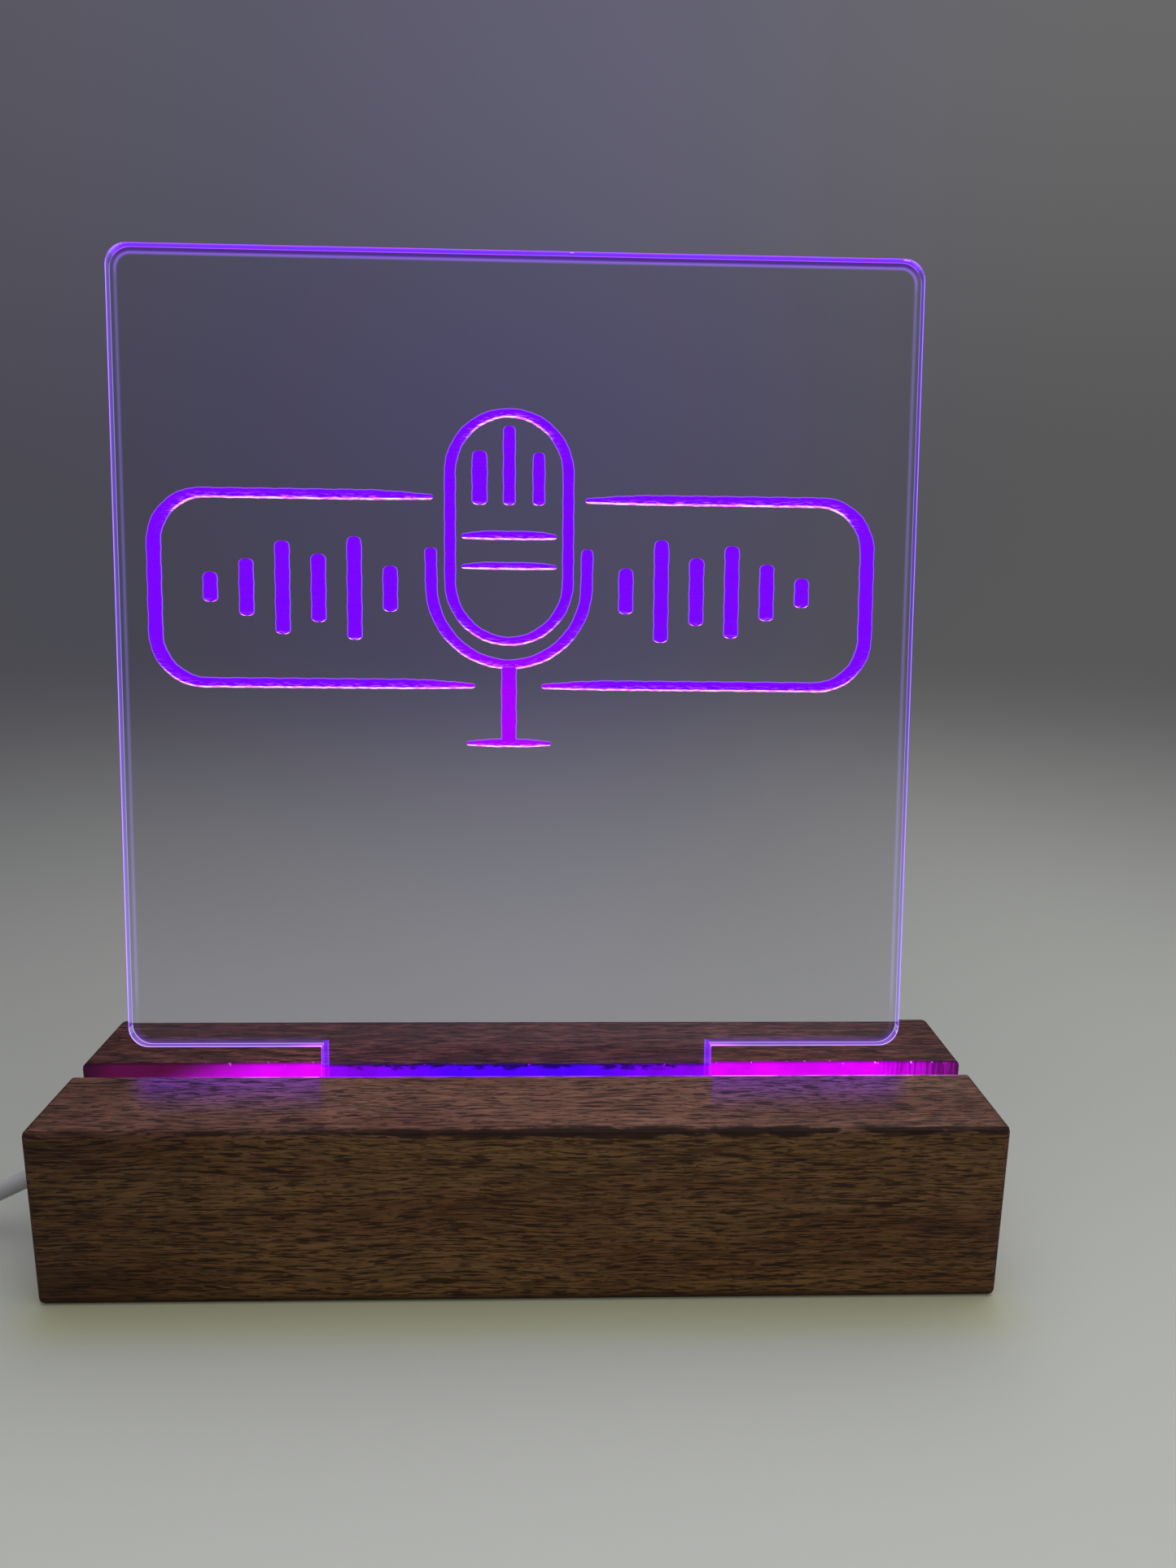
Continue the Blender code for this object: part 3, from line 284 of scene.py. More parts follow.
# The wall shows to the camera and in what is glossy or clear; plain daylight lights the rest
world = bpy.data.worlds.new("room")
bpy.context.scene.world = world
world.use_nodes = True
tree = world.node_tree
rays = add(tree, "LightPath").outputs
seen = larger(Value(rays["Is Camera Ray"]), Value(rays["Is Glossy Ray"]))
seen = larger(seen, Value(rays["Is Transmission Ray"]))
direction = Value(add(tree, "TexCoord").outputs["Generated"])
wall = use_group(tree, WALL_TONE, {"Direction": direction})["Color"]
backdrop = add(tree, "Background", {"Color": wall, "Strength": 1.0})
daylight = add(tree, "Background", {"Color": (1.0, 1.0, 1.0, 1.0), "Strength": ROOM_LIGHT})
both = add(tree, "MixShader", {0: seen, 1: daylight.outputs[0], 2: backdrop.outputs[0]})
fill(tree.nodes["World Output"], {"Surface": both.outputs[0]})

for name, place, size, watts in LAMPS:
    lamp_data = bpy.data.lights.new(name, "AREA")
    lamp_data.size = size
    lamp_data.energy = watts
    lamp = bpy.data.objects.new(name, lamp_data)
    lamp.location = place
    lamp.rotation_euler = (LAMPS_AIM - Vector(place)).to_track_quat("-Z", "Y").to_euler()
    bpy.context.collection.objects.link(lamp)


# The block is beech: planed, grooved from end to end with a saw, eased by hand and stained walnut
# brown. Beech has short dark flecks along its grain, and the stain gathers along the edges.
WOOD_BROWN = (0.094, 0.0415, 0.0144, 1.0)
WOOD_PALE = (0.118, 0.0600, 0.0216, 1.0)
WOOD_DARK = (0.018, 0.007, 0.0040, 1.0)
UNTINTED = (1.0, 1.0, 1.0, 1.0)
TOP_PAINTED_LIGHT = (1.24, 1.13, 2.05, 1.0)
BACK_PAINTED_SHADE = (0.84, 0.61, 0.76, 1.0)
BAND_SIZE = (0.0600, 0.0110, 0.0070)
FIBRE_SIZE = (0.0060, 0.00060, 0.00036)
FLECK_SIZE = (0.0046, 0.00050, 0.00036)
DASH_SIZE = (0.0021, 0.00038, 0.00027)
FLECK_LEVELS = (0.57, 0.62)
FLECK_STRENGTH = 0.88
BACK_STREAK_SIZE = (0.0090, 0.0012, 0.0006)
WANDER_SCALE = 28.0
GRAIN_WANDER = (0.0, 0.00105, 0.0035)
RING_LEVEL = 0.0205
RING_SLOPE = 0.25
RING_WANDER = 0.0030
RING_HALF_WIDTH = 0.0011
RING_FROM = (-0.030, 0.005)
RING_FRONT = (-0.0190, -0.0196)
TOP_LEVELS = (WOOD_HIGH[2] - 0.0014, WOOD_HIGH[2] - 0.0004)
DARK_LEFT = (-0.078, -0.030)
DARK_RIGHT = (0.050, 0.076)
STAIN_LINE = (0.0, WOOD_LOW[1] + 0.0003, WOOD_HIGH[2] - 0.0005)
STAIN_LINE_SIZE = (0.0070, 0.0050, 0.0030)
STAIN_LINE_WIDTH = 0.0018
STAIN_LINE_THIN_LEFT = (-0.040, 0.005)
STAIN_LINE_THIN_RIGHT = (0.040, 0.060)
STAIN_LINE_WANDER = 0.0012
STAIN_LINE_STRENGTH = 0.92
EDGE_STAIN_SIZE = (0.0100, 0.0033, 0.0020)
EDGE_STAIN_WIDTH = 0.0018
FOOT_PAINTED_SHADE = (0.0022, 0.0004)
EDGE_STAIN_AND_SHADE_STRENGTH = 0.85

# The strip's light is painted on the groove: magenta beside the panel's tab and blue-violet inside it.
# A painted spill of it also lies on the top in front of the groove, where the panel's two shoulders
# overhang.
GROOVE_HALF = 0.0025
GROOVE_FLOOR = 0.0115
TAB_LEFT = -0.0342
TAB_RIGHT = 0.0312
TAB_MIDDLE = (TAB_LEFT + TAB_RIGHT) / 2
TAB_SOFTNESS = 0.0003
GROOVE_PLUM = (0.085, 0.004, 0.050, 1.0)
GROOVE_MAGENTA = (0.83, 0.0, 1.12, 1.0)
GROOVE_BLUE = (0.10, 0.0, 1.28, 1.0)
GROOVE_VIOLET = (0.33, 0.0, 1.06, 1.0)
GROOVE_PINK = (1.00, 0.25, 0.95, 1.0)
LIT_FROM = (-0.0582, -0.0367)
LIT_SLOPE = 2.2
LIT_TO = (0.0785, 0.0600)
DIM_LEFT = (-0.0760, -0.0690)
BLUE_REACH = (0.008, 0.034)
SAW_SCALE = (2200.0, 120.0, 120.0)
SAWN_END = (0.0590, 0.0660)
RAGGED_SIZE = (0.0030, 0.0020, 0.0012)
RAGGED_DEPTH = 0.0008
RAGGED_REACH = (0.0330, 0.0240)
LIP_SHADE = (-0.0002, 0.0006)
LIP_WIDTH = 0.0007
LIP_LEVELS = (0.0280, 0.0290)
SPARKLE_SIZE = (0.0060, 0.0020, 0.0012)
GLINT_SCALE = 1300.0
GLINT_LEVELS = (0.0288, 0.0291)
GLINT_BACK = (0.0018, 0.0022)
SPILL_VIOLET = (0.056, 0.0, 0.185)
SPILL_REACH = 0.0150
SPILL_POWER = 1.4
SPILL_AXIS = 0.0041
SPILL_NARROWING = 6.66
SPILL_LEFT = (-0.0668, -0.0612)
SPILL_RIGHT = (0.0655, 0.0605)
SPILL_SOFTNESS = 0.0004


def mapped(vector, kind="POINT", **changes):
    """A vector after the Location, Rotation and Scale of a Mapping node."""
    return worked("Mapping", {"Vector": vector, **changes}, vector_type=kind)


def smaller(first, second):
    """The smaller of two numbers."""
    return maths("MINIMUM", first, second)


def above(value, limit):
    """1 where the value is above a limit, else 0."""
    return maths("GREATER_THAN", value, limit)


def below(value, limit):
    """1 where the value is below a limit, else 0."""
    return maths("LESS_THAN", value, limit)


def streaks(spot, size, detail, shift):
    """Noise drawn out as grain is: size gives its length along the block, its breadth across the top
    and its height on the front."""
    scale = tuple(1.0 / part for part in size)
    return noise(mapped(spot, Scale=scale, Location=(shift, shift, shift)), 1.0, detail, 0.55)


def past_tab(along, softness):
    """Two smooth steps: the first rises left of the panel's tab, the second right of it."""
    left = fade(along, TAB_LEFT + softness, TAB_LEFT - softness)
    return left, fade(along, TAB_RIGHT - softness, TAB_RIGHT + softness)


def dress(material, *nodes):
    """Gives a CAD node, or several, its finish."""
    for node in nodes:
        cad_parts[node].material_slots[0].material = material


# The grain: broad bands, fibres that vary the brightness, dark flecks and dashes, and one year ring
material, tree, shader = new_material("stained_beech")
spot = object_spot(tree)
along, across, up = split(spot)
depth = WOOD_HIGH[2] - up
wander = vectors("SUBTRACT", noise(spot, WANDER_SCALE, 1.0, output="Color"), (0.5, 0.5, 0.5))
grain_spot = total(spot, vectors("MULTIPLY", wander, GRAIN_WANDER))
bands = streaks(grain_spot, BAND_SIZE, 1.0, 4.4)
fibres = streaks(grain_spot, FIBRE_SIZE, 3.0, 7.7)
flecks = fade(streaks(grain_spot, FLECK_SIZE, 1.0, 1.3), *FLECK_LEVELS)
dashes = fade(streaks(grain_spot, DASH_SIZE, 1.0, 9.1), *FLECK_LEVELS)
flecks = larger(flecks, dashes * 0.8)
brightness = fade(fibres, 0.35, 0.65, 0.60, 1.40, "LINEAR")
ring = abs(up - along * RING_SLOPE + fibres * RING_WANDER - RING_LEVEL)
ring = fade(ring, RING_HALF_WIDTH, 0.0) * fade(along, *RING_FROM) * fade(across, *RING_FRONT)
colour = mixed(fade(bands, 0.38, 0.64), WOOD_BROWN, WOOD_PALE)
colour = mixed(fade(bands, 0.40, 0.20, 0.0, 0.4), colour, WOOD_DARK)
colour = scaled(colour, brightness)
colour = mixed(larger(flecks * FLECK_STRENGTH, ring * 0.5), colour, WOOD_DARK)

# Painted light makes the top lighter and less yellow than the front. Behind the groove painted shade
# makes it darker and redder, and it has dark streaks. The block's left end and the top's right end are
# darker.
on_top = fade(up, *TOP_LEVELS)
behind = on_top * fade(across, 0.0, GROOVE_HALF)
for mask, tint in ((on_top, TOP_PAINTED_LIGHT), (behind, BACK_PAINTED_SHADE)):
    colour = vectors("MULTIPLY", colour, mixed(mask, UNTINTED, tint))
back_streaks = behind * fade(streaks(grain_spot, BACK_STREAK_SIZE, 1.0, 3.9), 0.46, 0.56)
colour = scaled(colour, fade(back_streaks, 0.0, 1.0, 1.0, 0.55))
left_end = fade(along, *DARK_LEFT, 0.68, 1.0)
right_end = on_top * fade(along, *DARK_RIGHT, 0.0, 0.24)
colour = scaled(colour, left_end * (1.0 - right_end))

# Stain stands in a dark line along the front edge, broadest to the right of its middle
from_line = vectors("MULTIPLY", vectors("SUBTRACT", spot, STAIN_LINE), (0.0, 1.0, 1.0))
from_line = vectors("LENGTH", from_line, output="Value") + fibres * STAIN_LINE_WANDER
line_width = fade(streaks(spot, STAIN_LINE_SIZE, 4.0, 8.6), 0.34, 0.60, 0.36, 1.0)
line_width = line_width * fade(along, *STAIN_LINE_THIN_LEFT, 0.5, 1.0) * STAIN_LINE_WIDTH
line_width = line_width * fade(along, *STAIN_LINE_THIN_RIGHT, 1.0, 0.70)
colour = mixed(fade(from_line / line_width, 1.3, 0.7) * STAIN_LINE_STRENGTH, colour, WOOD_DARK)

# How far a point on a face is from the nearest edge: the middle one of its distances to the three
# pairs of faces, which is their sum less the largest, because the smallest is zero
gaps = []
for part, low, high in zip((along, across, up), WOOD_LOW, WOOD_HIGH):
    gaps.append(smaller(part - low, high - part))
from_edge = gaps[0] + gaps[1] + gaps[2] - larger(larger(gaps[0], gaps[1]), gaps[2])
# Stain gathers along the edges; along the foot the darkening is painted shade where the block meets the
# table
edge_reach = streaks(spot, EDGE_STAIN_SIZE, 3.0, 5.5) * EDGE_STAIN_WIDTH
stain_and_foot_shade = larger(fade(from_edge / edge_reach, 1.0, 0.4), fade(up, *FOOT_PAINTED_SHADE))
colour = mixed(stain_and_foot_shade * EDGE_STAIN_AND_SHADE_STRENGTH, colour, WOOD_DARK)

# The groove's painted light: by its place along the tab, uneven on the sawn walls and ragged at the lip,
# where painted shade dims it
beside_tab = maths("ADD", *past_tab(along, TAB_SOFTNESS), clamp=True)
in_groove = fade(abs(across), GROOVE_HALF + 0.0002, GROOVE_HALF) * above(up, GROOVE_FLOOR - 0.0001)
lit = fade(along + depth * LIT_SLOPE, *LIT_FROM) * fade(along, *LIT_TO)
left_dim = fade(along, *DIM_LEFT, 0.25, 1.0)
blotches = fade(noise(spot, 220.0, 4.0), 0.34, 0.60, 0.80, 1.0)
saw_marks = fade(noise(mapped(spot, Scale=SAW_SCALE), 1.0, 2.0), 0.42, 0.60, 0.45, 1.0)
uneven = worked("Mix", {0: fade(along, *SAWN_END), 2: blotches, 3: saw_marks})
from_middle = abs(along - TAB_MIDDLE)
magenta = mixed(lit, GROOVE_PLUM, GROOVE_MAGENTA)
violet = mixed(fade(from_middle, *BLUE_REACH), GROOVE_BLUE, GROOVE_VIOLET)
ragged = fade(streaks(spot, RAGGED_SIZE, 3.0, 6.1), 0.40, 0.64, 0.0, RAGGED_DEPTH)
ragged = ragged * fade(from_middle, *RAGGED_REACH) + 0.0001
below_lip = fade(depth - ragged, *LIP_SHADE, 0.14, 1.0)
groove_light = scaled(mixed(beside_tab, violet, magenta), in_groove * below_lip * uneven * left_dim)

# The painted spill on the top narrows towards the front. Painted shade darkens the wood there, under the
# two shoulders, and in the groove.
ahead = below(across, -GROOVE_HALF)
forward = larger(-GROOVE_HALF - across, 0.0)
narrowed = (along - SPILL_AXIS) * (forward * SPILL_NARROWING + 1.0) + SPILL_AXIS
spill_left, spill_right = past_tab(narrowed, SPILL_SOFTNESS)
spill = fade(narrowed, *SPILL_LEFT) * spill_left + fade(narrowed, *SPILL_RIGHT) * spill_right
spill = spill * ahead * on_top
spill_depth = fade(forward, SPILL_REACH, 0.0) ** SPILL_POWER
spill_level = spill * spill_depth * (1.0 - flecks * 0.8) * brightness
unlit = fade(in_groove, 0.0, 1.0, 1.0, 0.12) * (1.0 - spill * (spill_depth * 0.25 + 0.12))

# Painted highlights: the front lip shines where it is lit, and a few glints show at the top of the back
# wall
lip = ahead * fade(across, -GROOVE_HALF - LIP_WIDTH, -GROOVE_HALF - LIP_WIDTH / 2)
sparkle = fade(streaks(spot, SPARKLE_SIZE, 3.0, 2.2), 0.40, 0.60)
lip_level = lip * lit * fade(sparkle, 0.0, 1.0, 0.3, 1.0) * fade(up, *LIP_LEVELS)
glints = fade(noise(spot, GLINT_SCALE, 1.0), 0.68, 0.74) * in_groove * fade(up, *GLINT_LEVELS)
lip_level = lip_level + glints * lit * fade(across, *GLINT_BACK)
lip_light = scaled(mixed(beside_tab, GROOVE_VIOLET, GROOVE_PINK), lip_level)
wood_finish = {
    "Base Color": scaled(colour, unlit),
    "Roughness": fade(fibres, 0.3, 0.7, 0.66, 0.50, "LINEAR"),
    "Specular IOR Level": 0.14,
    "Emission Color": total(groove_light, scaled(SPILL_VIOLET, spill_level), lip_light),
    "Emission Strength": 1.0,
    "Normal": bump(fibres * 0.6 - flecks, 0.30, 0.00010),
}
fill(shader, wood_finish)
dress(material, "wood_base")


# The LED strip is a flexible white circuit on foam tape: twelve packages, a resistor for each group
# of three, and copper pads at the cuts between the groups. Its two cores are soldered at the left.
GROUP_LENGTH = 0.025
CHIP_FIRST_X = -0.0378
CHIP_PITCH = GROUP_LENGTH / 3
CUP_RADIUS = 0.0012
PAD_HALF_LENGTH = 0.0012
PAD_FROM_AXIS = 0.0012
PAD_HALF_WIDTH = 0.0005
CUT_HALF_WIDTH = 0.0001
COPPER = (0.72, 0.36, 0.20, 1.0)
CIRCUIT_WHITE = (0.74, 0.74, 0.70, 1.0)
PACKAGE_WHITE = (0.78, 0.77, 0.72, 1.0)
LENS_VIOLET = (0.30, 0.02, 1.00)
LENS_LIGHT = 1.6
MOULD_RADIUS = 0.0005
CLOUD_SCALE = 260.0
TARNISH_SCALE = 500.0

# Moulded or dipped plastic: slight clouds in its colour and a fine skin
MOULDED, given, result = new_group(
    "moulded",
    [("Colour", "Color", None), ("Clouds", "Float", 0.06), ("Grain", "Float", 4000.0)],
    [("Color", "Color"), ("Skin", "Float"), ("Gloss", "Float")],
)
spot = object_spot(MOULDED)
cloud = noise(spot, CLOUD_SCALE, 3.0)
tone = (cloud - 0.5) * given["Clouds"] * 4.0 + 1.0
skin = noise(spot, given["Grain"], 2.0)
fill(result, {"Color": scaled(given["Colour"], tone), "Skin": skin, "Gloss": cloud})


def plastic(name, colour, roughness, clouds=0.06, grain=4000.0, skin_height=0.00001):
    """A plastic or rubber finish from the moulded group, with that colour and about that roughness.
    Its corners catch the light as if a mould had rounded them."""
    material, tree, shader = new_material(name)
    moulded = use_group(tree, MOULDED, {"Colour": (*colour, 1.0), "Clouds": clouds, "Grain": grain})
    rounded = Value(add(tree, "Bevel", {"Radius": MOULD_RADIUS}, samples=6).outputs[0])
    finish = {
        "Base Color": moulded["Color"],
        "Roughness": fade(moulded["Gloss"], 0.3, 0.7, roughness - 0.06, roughness + 0.06),
        "Normal": bump(moulded["Skin"], 0.5, skin_height, Normal=rounded),
    }
    fill(shader, finish)
    return material


def metal(name, colour, roughness, brush):
    """Plated or brushed metal: brush gives the marks' length along x, y and z, in metres."""
    material, tree, shader = new_material(name)
    spot = object_spot(tree)
    lines = noise(mapped(spot, Scale=tuple(1.0 / size for size in brush)), 1.0, 3.0)
    finish = {
        "Base Color": scaled(colour, fade(noise(spot, TARNISH_SCALE, 2.0), 0.3, 0.7, 0.86, 1.06)),
        "Roughness": fade(lines, 0.3, 0.7, roughness * 0.7, roughness * 1.4),
        "Metallic": 1.0,
        "Normal": bump(lines, 0.4, 0.00001),
    }
    fill(shader, finish)
    return material


def repeated(value, start, pitch):
    """The distance of a value to the nearest of start, start + pitch and so on."""
    return abs(maths("FLOORED_MODULO", value - (start - pitch / 2), pitch) - pitch / 2)


strip_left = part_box("strip_circuit")[0][0]
material, tree, shader = new_material("circuit_film")
along, across = split(object_spot(tree))[:2]
to_cut = repeated(along, strip_left, GROUP_LENGTH)
to_pad = abs(abs(across) - PAD_FROM_AXIS)
pad = below(to_cut, PAD_HALF_LENGTH) * below(to_pad, PAD_HALF_WIDTH) * above(to_cut, CUT_HALF_WIDTH)
moulded = use_group(tree, MOULDED, {"Colour": CIRCUIT_WHITE, "Clouds": 0.05, "Grain": 3000.0})
circuit_finish = {
    "Base Color": mixed(pad, moulded["Color"], COPPER),
    "Metallic": pad,
    "Roughness": fade(pad, 0.0, 1.0, 0.38, 0.28),
    "Normal": bump(pad, 0.5, 0.00003),
}
fill(shader, circuit_finish)
dress(material, "strip_circuit")

material, tree, shader = new_material("led_package")
along, across = split(object_spot(tree))[:2]
from_chip = repeated(along, CHIP_FIRST_X, CHIP_PITCH)
radius = maths("SQRT", from_chip**2.0 + across**2.0)
in_cup = fade(radius, CUP_RADIUS, CUP_RADIUS - 0.0001)
hot = fade(radius, CUP_RADIUS, 0.0, 0.5, 1.0)
moulded = use_group(tree, MOULDED, {"Colour": PACKAGE_WHITE, "Clouds": 0.04, "Grain": 5000.0})
package_finish = {
    "Base Color": moulded["Color"],
    "Roughness": fade(in_cup, 0.0, 1.0, 0.40, 0.16),
    "Emission Color": scaled(LENS_VIOLET, in_cup * hot),
    "Emission Strength": LENS_LIGHT,
}
fill(shader, package_finish)
dress(material, *[f"led_chip_{i:02d}" for i in range(1, 13)])

red_insulation = plastic("red_insulation", (0.50, 0.02, 0.015), 0.38)
black_insulation = plastic("black_insulation", (0.018, 0.018, 0.020), 0.40)
dress(plastic("foam_tape", (0.60, 0.60, 0.58), 0.85, 0.10, 1500.0, 0.00006), "strip_tape")
dress(plastic("resistor", (0.025, 0.025, 0.028), 0.35), *[f"strip_resistor_{i}" for i in range(1, 5)])
dress(metal("solder", (0.62, 0.62, 0.60), 0.30, (0.0006,) * 3), "solder_joint_red", "solder_joint_black")
dress(red_insulation, "core_red")
dress(black_insulation, "core_black")
dress(plastic("shrink_sleeve", (0.022, 0.022, 0.024), 0.55, 0.12, 2500.0, 0.00002), "shrink_sleeve")
dress(plastic("hot_melt", (0.56, 0.52, 0.42), 0.28, 0.14, 600.0, 0.00005), "cord_anchor")


# The lead is a pale round cord of 3 mm. It leaves the groove's left end, droops to the table, lies
# in a coil four layers deep beside the block, and climbs down from it into the in-line switch.
LEAD_DIAMETER = 0.0030
LEAD_SIDES = 18
LEAD_STEP = 0.0012
LEAD_EASE = 0.06 * LEAD_DIAMETER
SEAM_GAP = 0.0003
KNOT_STEP = 0.0060
SPLINE_SAMPLES = 24
BLOCK_END_X = -0.0750
GROOVE_KNOTS = ((-0.0530, 0.0, 0.01395), (-0.0596, 0.0, 0.01395), (-0.0750, 0.0, 0.0133))
DROOP_KNOTS = (
    (-0.0050, 0.0000, 0.0119),
    (-0.0108, 0.0000, 0.0090),
    (-0.0147, 0.0000, 0.00705),
    (-0.0195, 0.0003, 0.0047),
    (-0.0245, 0.0012, 0.0027),
    (-0.0295, 0.0031, 0.0017),
)
COIL_CENTRE = (-0.1280, -0.0080)
COIL_MEAN_RADIUS = 0.0165
COIL_PITCH = 0.0035
COIL_LAYERS = 4
COIL_TURNS_PER_LAYER = 2.5
COIL_START_DEGREES = 60.0
COIL_LOOP_POINTS = 24
COIL_EXTRA_POINTS = 3
COIL_LOWEST = 0.0016
TAIL_KNOTS = ((-0.1480, 0.0081, 0.0104), (-0.1535, 0.0060, 0.0074))
SWITCH_ENTRY = (-0.1620, 0.0040, 0.0052)
SWITCH_EXIT = (-0.2020, 0.0040, 0.0052)
SWITCH_GRIP = (-0.0035, 0.0, 0.0)


def run_along(line):
    """How far along a line each of its points is."""
    return np.concatenate([[0.0], np.cumsum(np.linalg.norm(np.diff(line, axis=0), axis=1))])


def read_off(line, stops):
    """The points of a line at some lengths along it: each coordinate is read off against the run."""
    run = run_along(line)
    return np.stack([np.interp(stops, run, line[:, axis]) for axis in range(line.shape[1])], axis=1)


def respaced(line, spacing):
    """The same line with even steps, each about spacing long."""
    length = run_along(line)[-1]
    return read_off(line, np.linspace(0.0, length, max(3, round(length / spacing)) + 1))


def smooth_line(knots, spacing):
    """Points on the Catmull-Rom curve through the knots, each about spacing from the next. Between
    two knots it is half of 2b + (c - a)t + (2a - 5b + 4c - d)t^2 + (3b - 3c + d - a)t^3."""
    points = np.asarray(knots, float)
    padded = np.vstack([2 * points[0] - points[1], points, 2 * points[-1] - points[-2]])
    a, b, c, d = (padded[i : len(padded) - 3 + i, None] for i in range(4))
    t = np.linspace(0.0, 1.0, SPLINE_SAMPLES, endpoint=False)[None, :, None]
    pieces = 2 * b + (c - a) * t + (2 * a - 5 * b + 4 * c - d) * t**2 + (3 * b - 3 * c + d - a) * t**3
    return respaced(np.vstack([0.5 * pieces.reshape(-1, points.shape[1]), points[-1]]), spacing)


def unit(directions):
    """The same directions with length one."""
    return directions / np.linalg.norm(directions, axis=-1, keepdims=True)


def new_piece(name, points, faces, material, body):
    """A mesh piece from its points and its faces' corner numbers."""
    mesh = bpy.data.meshes.new(name)
    mesh.from_pydata(points.tolist(), [], faces)
    mesh.materials.append(material)
    piece = bpy.data.objects.new(name, mesh)
    bpy.context.collection.objects.link(piece)
    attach(piece, body)
    return piece


def tube_faces(rings, sides):
    """Four-cornered faces between rings of points that follow each other along a tube."""
    ring, side = np.meshgrid(np.arange(rings - 1), np.arange(sides), indexing="ij")
    here, there = ring * sides + side, ring * sides + (side + 1) % sides
    return np.stack([here, there, there + sides, here + sides], axis=-1).reshape(-1, 4)


def lead_piece(name, path):
    """The lead along a path: around each point a circle in the plane of side and lift, where side
    is the heading crossed with the vertical, and lift is side crossed with the heading. A short
    cone and a pole close each end."""
    heading = unit(np.gradient(path, axis=0))
    side = unit(np.cross(heading, (0.0, 0.0, 1.0)))
    lift = np.cross(side, heading)
    turns = np.linspace(0.0, 2 * math.pi, LEAD_SIDES, endpoint=False)
    around = side[:, None] * np.cos(turns)[None, :, None] + lift[:, None] * np.sin(turns)[None, :, None]
    radius = LEAD_DIAMETER / 2
    first = path[0] + around[0] * (radius - LEAD_EASE) - heading[0] * LEAD_EASE
    last = path[-1] + around[-1] * (radius - LEAD_EASE) + heading[-1] * LEAD_EASE
    rings = np.concatenate([first[None], path[:, None] + around * radius, last[None]])
    points = np.vstack([rings.reshape(-1, 3), first.mean(0), last.mean(0)])
    here = np.arange(LEAD_SIDES)
    there = (here + 1) % LEAD_SIDES
    poles = len(rings) * LEAD_SIDES
    end = poles - LEAD_SIDES
    first_lid = np.stack([there, here, np.full(LEAD_SIDES, poles)], axis=1)
    last_lid = np.stack([end + here, end + there, np.full(LEAD_SIDES, poles + 1)], axis=1)
    faces = tube_faces(len(rings), LEAD_SIDES).tolist() + first_lid.tolist() + last_lid.tolist()
    piece = new_piece(name, points, faces, cord_jacket, "base")
    piece.data.polygons.foreach_set("use_smooth", np.ones(len(faces), bool))
    return piece


def coil_line():
    """The coil, point by point: the angle grows by one loop in every 24 points, the radius
    shrinks and grows in turn by a pitch a loop, and the height climbs by a smooth step between layers."""
    count = round(COIL_LAYERS * COIL_TURNS_PER_LAYER * COIL_LOOP_POINTS) + COIL_EXTRA_POINTS
    turn = np.arange(count + 1) / COIL_LOOP_POINTS
    layer = np.minimum((turn / COIL_TURNS_PER_LAYER).astype(int), COIL_LAYERS - 1)
    into = (turn - layer * COIL_TURNS_PER_LAYER) * COIL_PITCH
    reach = COIL_PITCH * COIL_TURNS_PER_LAYER / 2
    radius = COIL_MEAN_RADIUS + np.where(layer % 2 == 0, reach - into, into - reach)
    climbs = np.arange(1, COIL_LAYERS)[:, None]
    share = np.clip((turn - climbs * COIL_TURNS_PER_LAYER) * 2 + 0.5, 0.0, 1.0)
    height = COIL_LOWEST + COIL_PITCH * (share**2 * (3 - 2 * share)).sum(axis=0)
    angle = math.radians(COIL_START_DEGREES) + 2 * math.pi * turn
    x = COIL_CENTRE[0] + radius * np.cos(angle)
    y = COIL_CENTRE[1] + radius * np.sin(angle)
    return np.stack([x, y, height], axis=1)


coil = coil_line()
entering = unit(coil[1] - coil[0])
leaving = unit(coil[-1] - coil[-2])
coil_start = coil[0] - entering * LEAD_DIAMETER
coil_end = coil[-1] + leaving * LEAD_DIAMETER
run_end = coil_start - entering * SEAM_GAP
droop = np.array(DROOP_KNOTS) + (BLOCK_END_X, 0.0, 0.0)
approach = [run_end - entering * KNOT_STEP, run_end - entering * LEAD_DIAMETER, run_end]
run = smooth_line(np.vstack([GROOVE_KNOTS, droop, *approach]), LEAD_STEP)
wound = smooth_line(np.vstack([coil_start, coil, coil_end]), LEAD_STEP)
tail_start = coil_end + leaving * SEAM_GAP
clear = [tail_start, tail_start + leaving * LEAD_DIAMETER, tail_start + leaving * KNOT_STEP]
grip = np.array(SWITCH_GRIP)
entry = np.array(SWITCH_ENTRY)
tail = smooth_line(np.vstack([*clear, TAIL_KNOTS, entry - grip, entry, entry + grip]), LEAD_STEP)
to_switch = respaced(np.vstack([run, wound, tail]), LEAD_STEP)

cord_jacket = plastic("cord_jacket", (0.315, 0.310, 0.330), 0.42, 0.08, 3000.0)
lead_to_switch = lead_piece("lead_to_switch", to_switch)
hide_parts("cord_run", "cord_coil", "cord_tail")


# The switch is two moulded white halves round the cord, with a darker rocker on trunnions between
# two cheeks. Inside, a brass bridge under the rocker joins the two terminals.
switch_white = plastic("switch_plastic", (0.60, 0.61, 0.62), 0.40, 0.05, 5000.0)
dress(switch_white, "switch_case_lower", "switch_case_upper")
dress(plastic("rocker_plastic", (0.30, 0.31, 0.33), 0.34, 0.05, 5000.0), "switch_rocker")
brass = metal("contact_brass", (0.72, 0.50, 0.22), 0.26, (0.0030, 0.0002, 0.0002))
dress(brass, "switch_bridge", "switch_terminal_in", "switch_terminal_out")
dress(red_insulation, "switch_core_in", "switch_core_out")
dress(black_insulation, "switch_core_through")


# From the switch a short stretch turns back to the plug, which lies on the table beside the coil.
# Its grip is moulded over the shell's back, and ends in a ribbed strain relief.
PLUG_KNOTS = (
    (-0.2100, 0.0022, 0.0038),
    (-0.2134, -0.0045, 0.0022),
    (-0.2120, -0.0112, 0.0022),
    (-0.2072, -0.0153, 0.0033),
)
PLUG_CABLE_END = (-0.2003, -0.0160, 0.0039)

